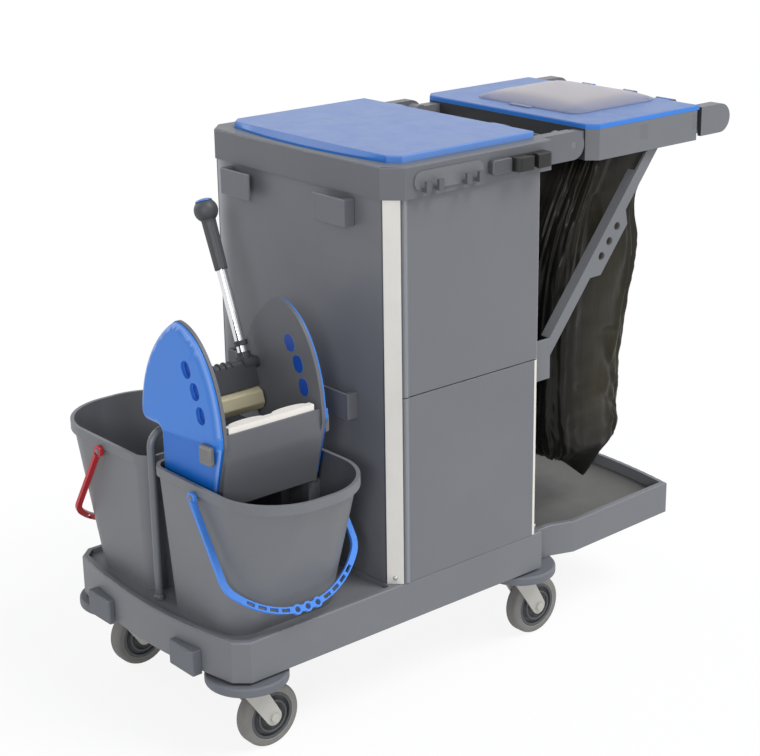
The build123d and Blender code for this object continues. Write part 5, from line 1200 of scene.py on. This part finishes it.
# Every other piece is its CAD node with rounded edges, rounder on housings than on sheet and small parts
ROUNDINGS = {
    0.0006: ("front_panel", "rear_panel"),
    0.0007: ("corner_posts",),
    0.0014: ("bucket_near", "bucket_far", "wringer_frame"),
    0.0016: ("cabinet_lid", "bag_lid"),
    0.0018: (*SIDE_PANELS, "hook_plate"),
    0.0020: (*CHEEK_COVERS, "top_collar", "bumper_blocks"),
    0.0022: ("base_tray", "bag_platform", "bag_frame"),
    0.0024: ("press_plate", "panel_holders", "clip_bracket", "clip_jaw"),
}
HAND_MADE = {"lever_grip", "lever_cap", "post_screws", "waste_bag", "clear_hatch"}
node_rounding = {node: width for width, nodes in ROUNDINGS.items() for node in nodes}
for node in sorted(set(frame["nodes"]) - HAND_MADE):
    refined(node, node_rounding.get(node, EDGE_ROUND))


# Stage: pale floor, white surroundings, soft light and the camera
def pale_floor():
    """Large pale floor, partly lit and partly plain white to the eye, so that shadows stay soft."""
    corners = [(FLOOR_REACH * x, FLOOR_REACH * y, 0) for x, y in ((-1, -1), (1, -1), (1, 1), (-1, 1))]
    mesh = bpy.data.meshes.new("floor")
    mesh.from_pydata(corners, [], [(0, 1, 2, 3)])
    floor = linked("floor", mesh)
    finish = Finish("floor", Base_Color=FLOOR_COLOUR, Roughness=0.9, Specular_IOR_Level=0.1)
    lit = Wire(finish, finish.surface.outputs["BSDF"])
    glow = finish.node("ShaderNodeEmission", sockets={"Color": WHITE, "Strength": 1.0})
    shares = {0: finish.background_rays() * FLOOR_WHITE, 1: lit, 2: glow}
    finish.feed(finish.output.inputs["Surface"], finish.node("ShaderNodeMixShader", sockets=shares))
    mesh.materials.append(finish.material)


def white_world():
    """White to the eye and in reflections, soft ambient light for the rest."""
    world = bpy.data.worlds.new("studio")
    bpy.context.scene.world = world
    world.use_nodes = True
    board = Board(world.node_tree)
    soft = board.node("ShaderNodeBackground", sockets={"Color": AMBIENT_COLOUR, "Strength": AMBIENT})
    white = board.node("ShaderNodeBackground", sockets={"Color": WHITE, "Strength": 1.0})
    blend = board.node("ShaderNodeMixShader", sockets={0: board.background_rays(), 1: soft, 2: white})
    output = board.tree.nodes.new("ShaderNodeOutputWorld")
    board.feed(output.inputs["Surface"], blend)


def soft_sun(name, strength, direction, spread):
    """A broad distant lamp that shines from a direction."""
    lamp = bpy.data.lights.new(name, "SUN")
    lamp.energy = strength
    lamp.angle = math.radians(spread)
    holder = linked(name, lamp)
    holder.rotation_euler = Vector(direction).to_track_quat("Z", "Y").to_euler()


def photo_camera():
    """The photograph's camera: place, turn, tilt and roll."""
    lens = bpy.data.cameras.new("photo_camera")
    lens.sensor_fit = "HORIZONTAL"
    lens.sensor_width = SENSOR_WIDTH
    lens.lens = VIEW_LENS
    camera = linked("photo_camera", lens)
    turn = Matrix.Rotation(math.radians(VIEW_AZIMUTH), 4, "Z")
    tilt = Matrix.Rotation(math.radians(90 - VIEW_ELEVATION), 4, "X")
    roll = Matrix.Rotation(math.radians(VIEW_ROLL), 4, "Z")
    camera.matrix_world = Matrix.Translation(VIEW_PLACE) @ turn @ tilt @ roll
    bpy.context.scene.camera = camera


pale_floor()
white_world()
for lamp in LAMPS:
    soft_sun(*lamp)
photo_camera()
bpy.context.scene.view_settings.view_transform = "Standard"
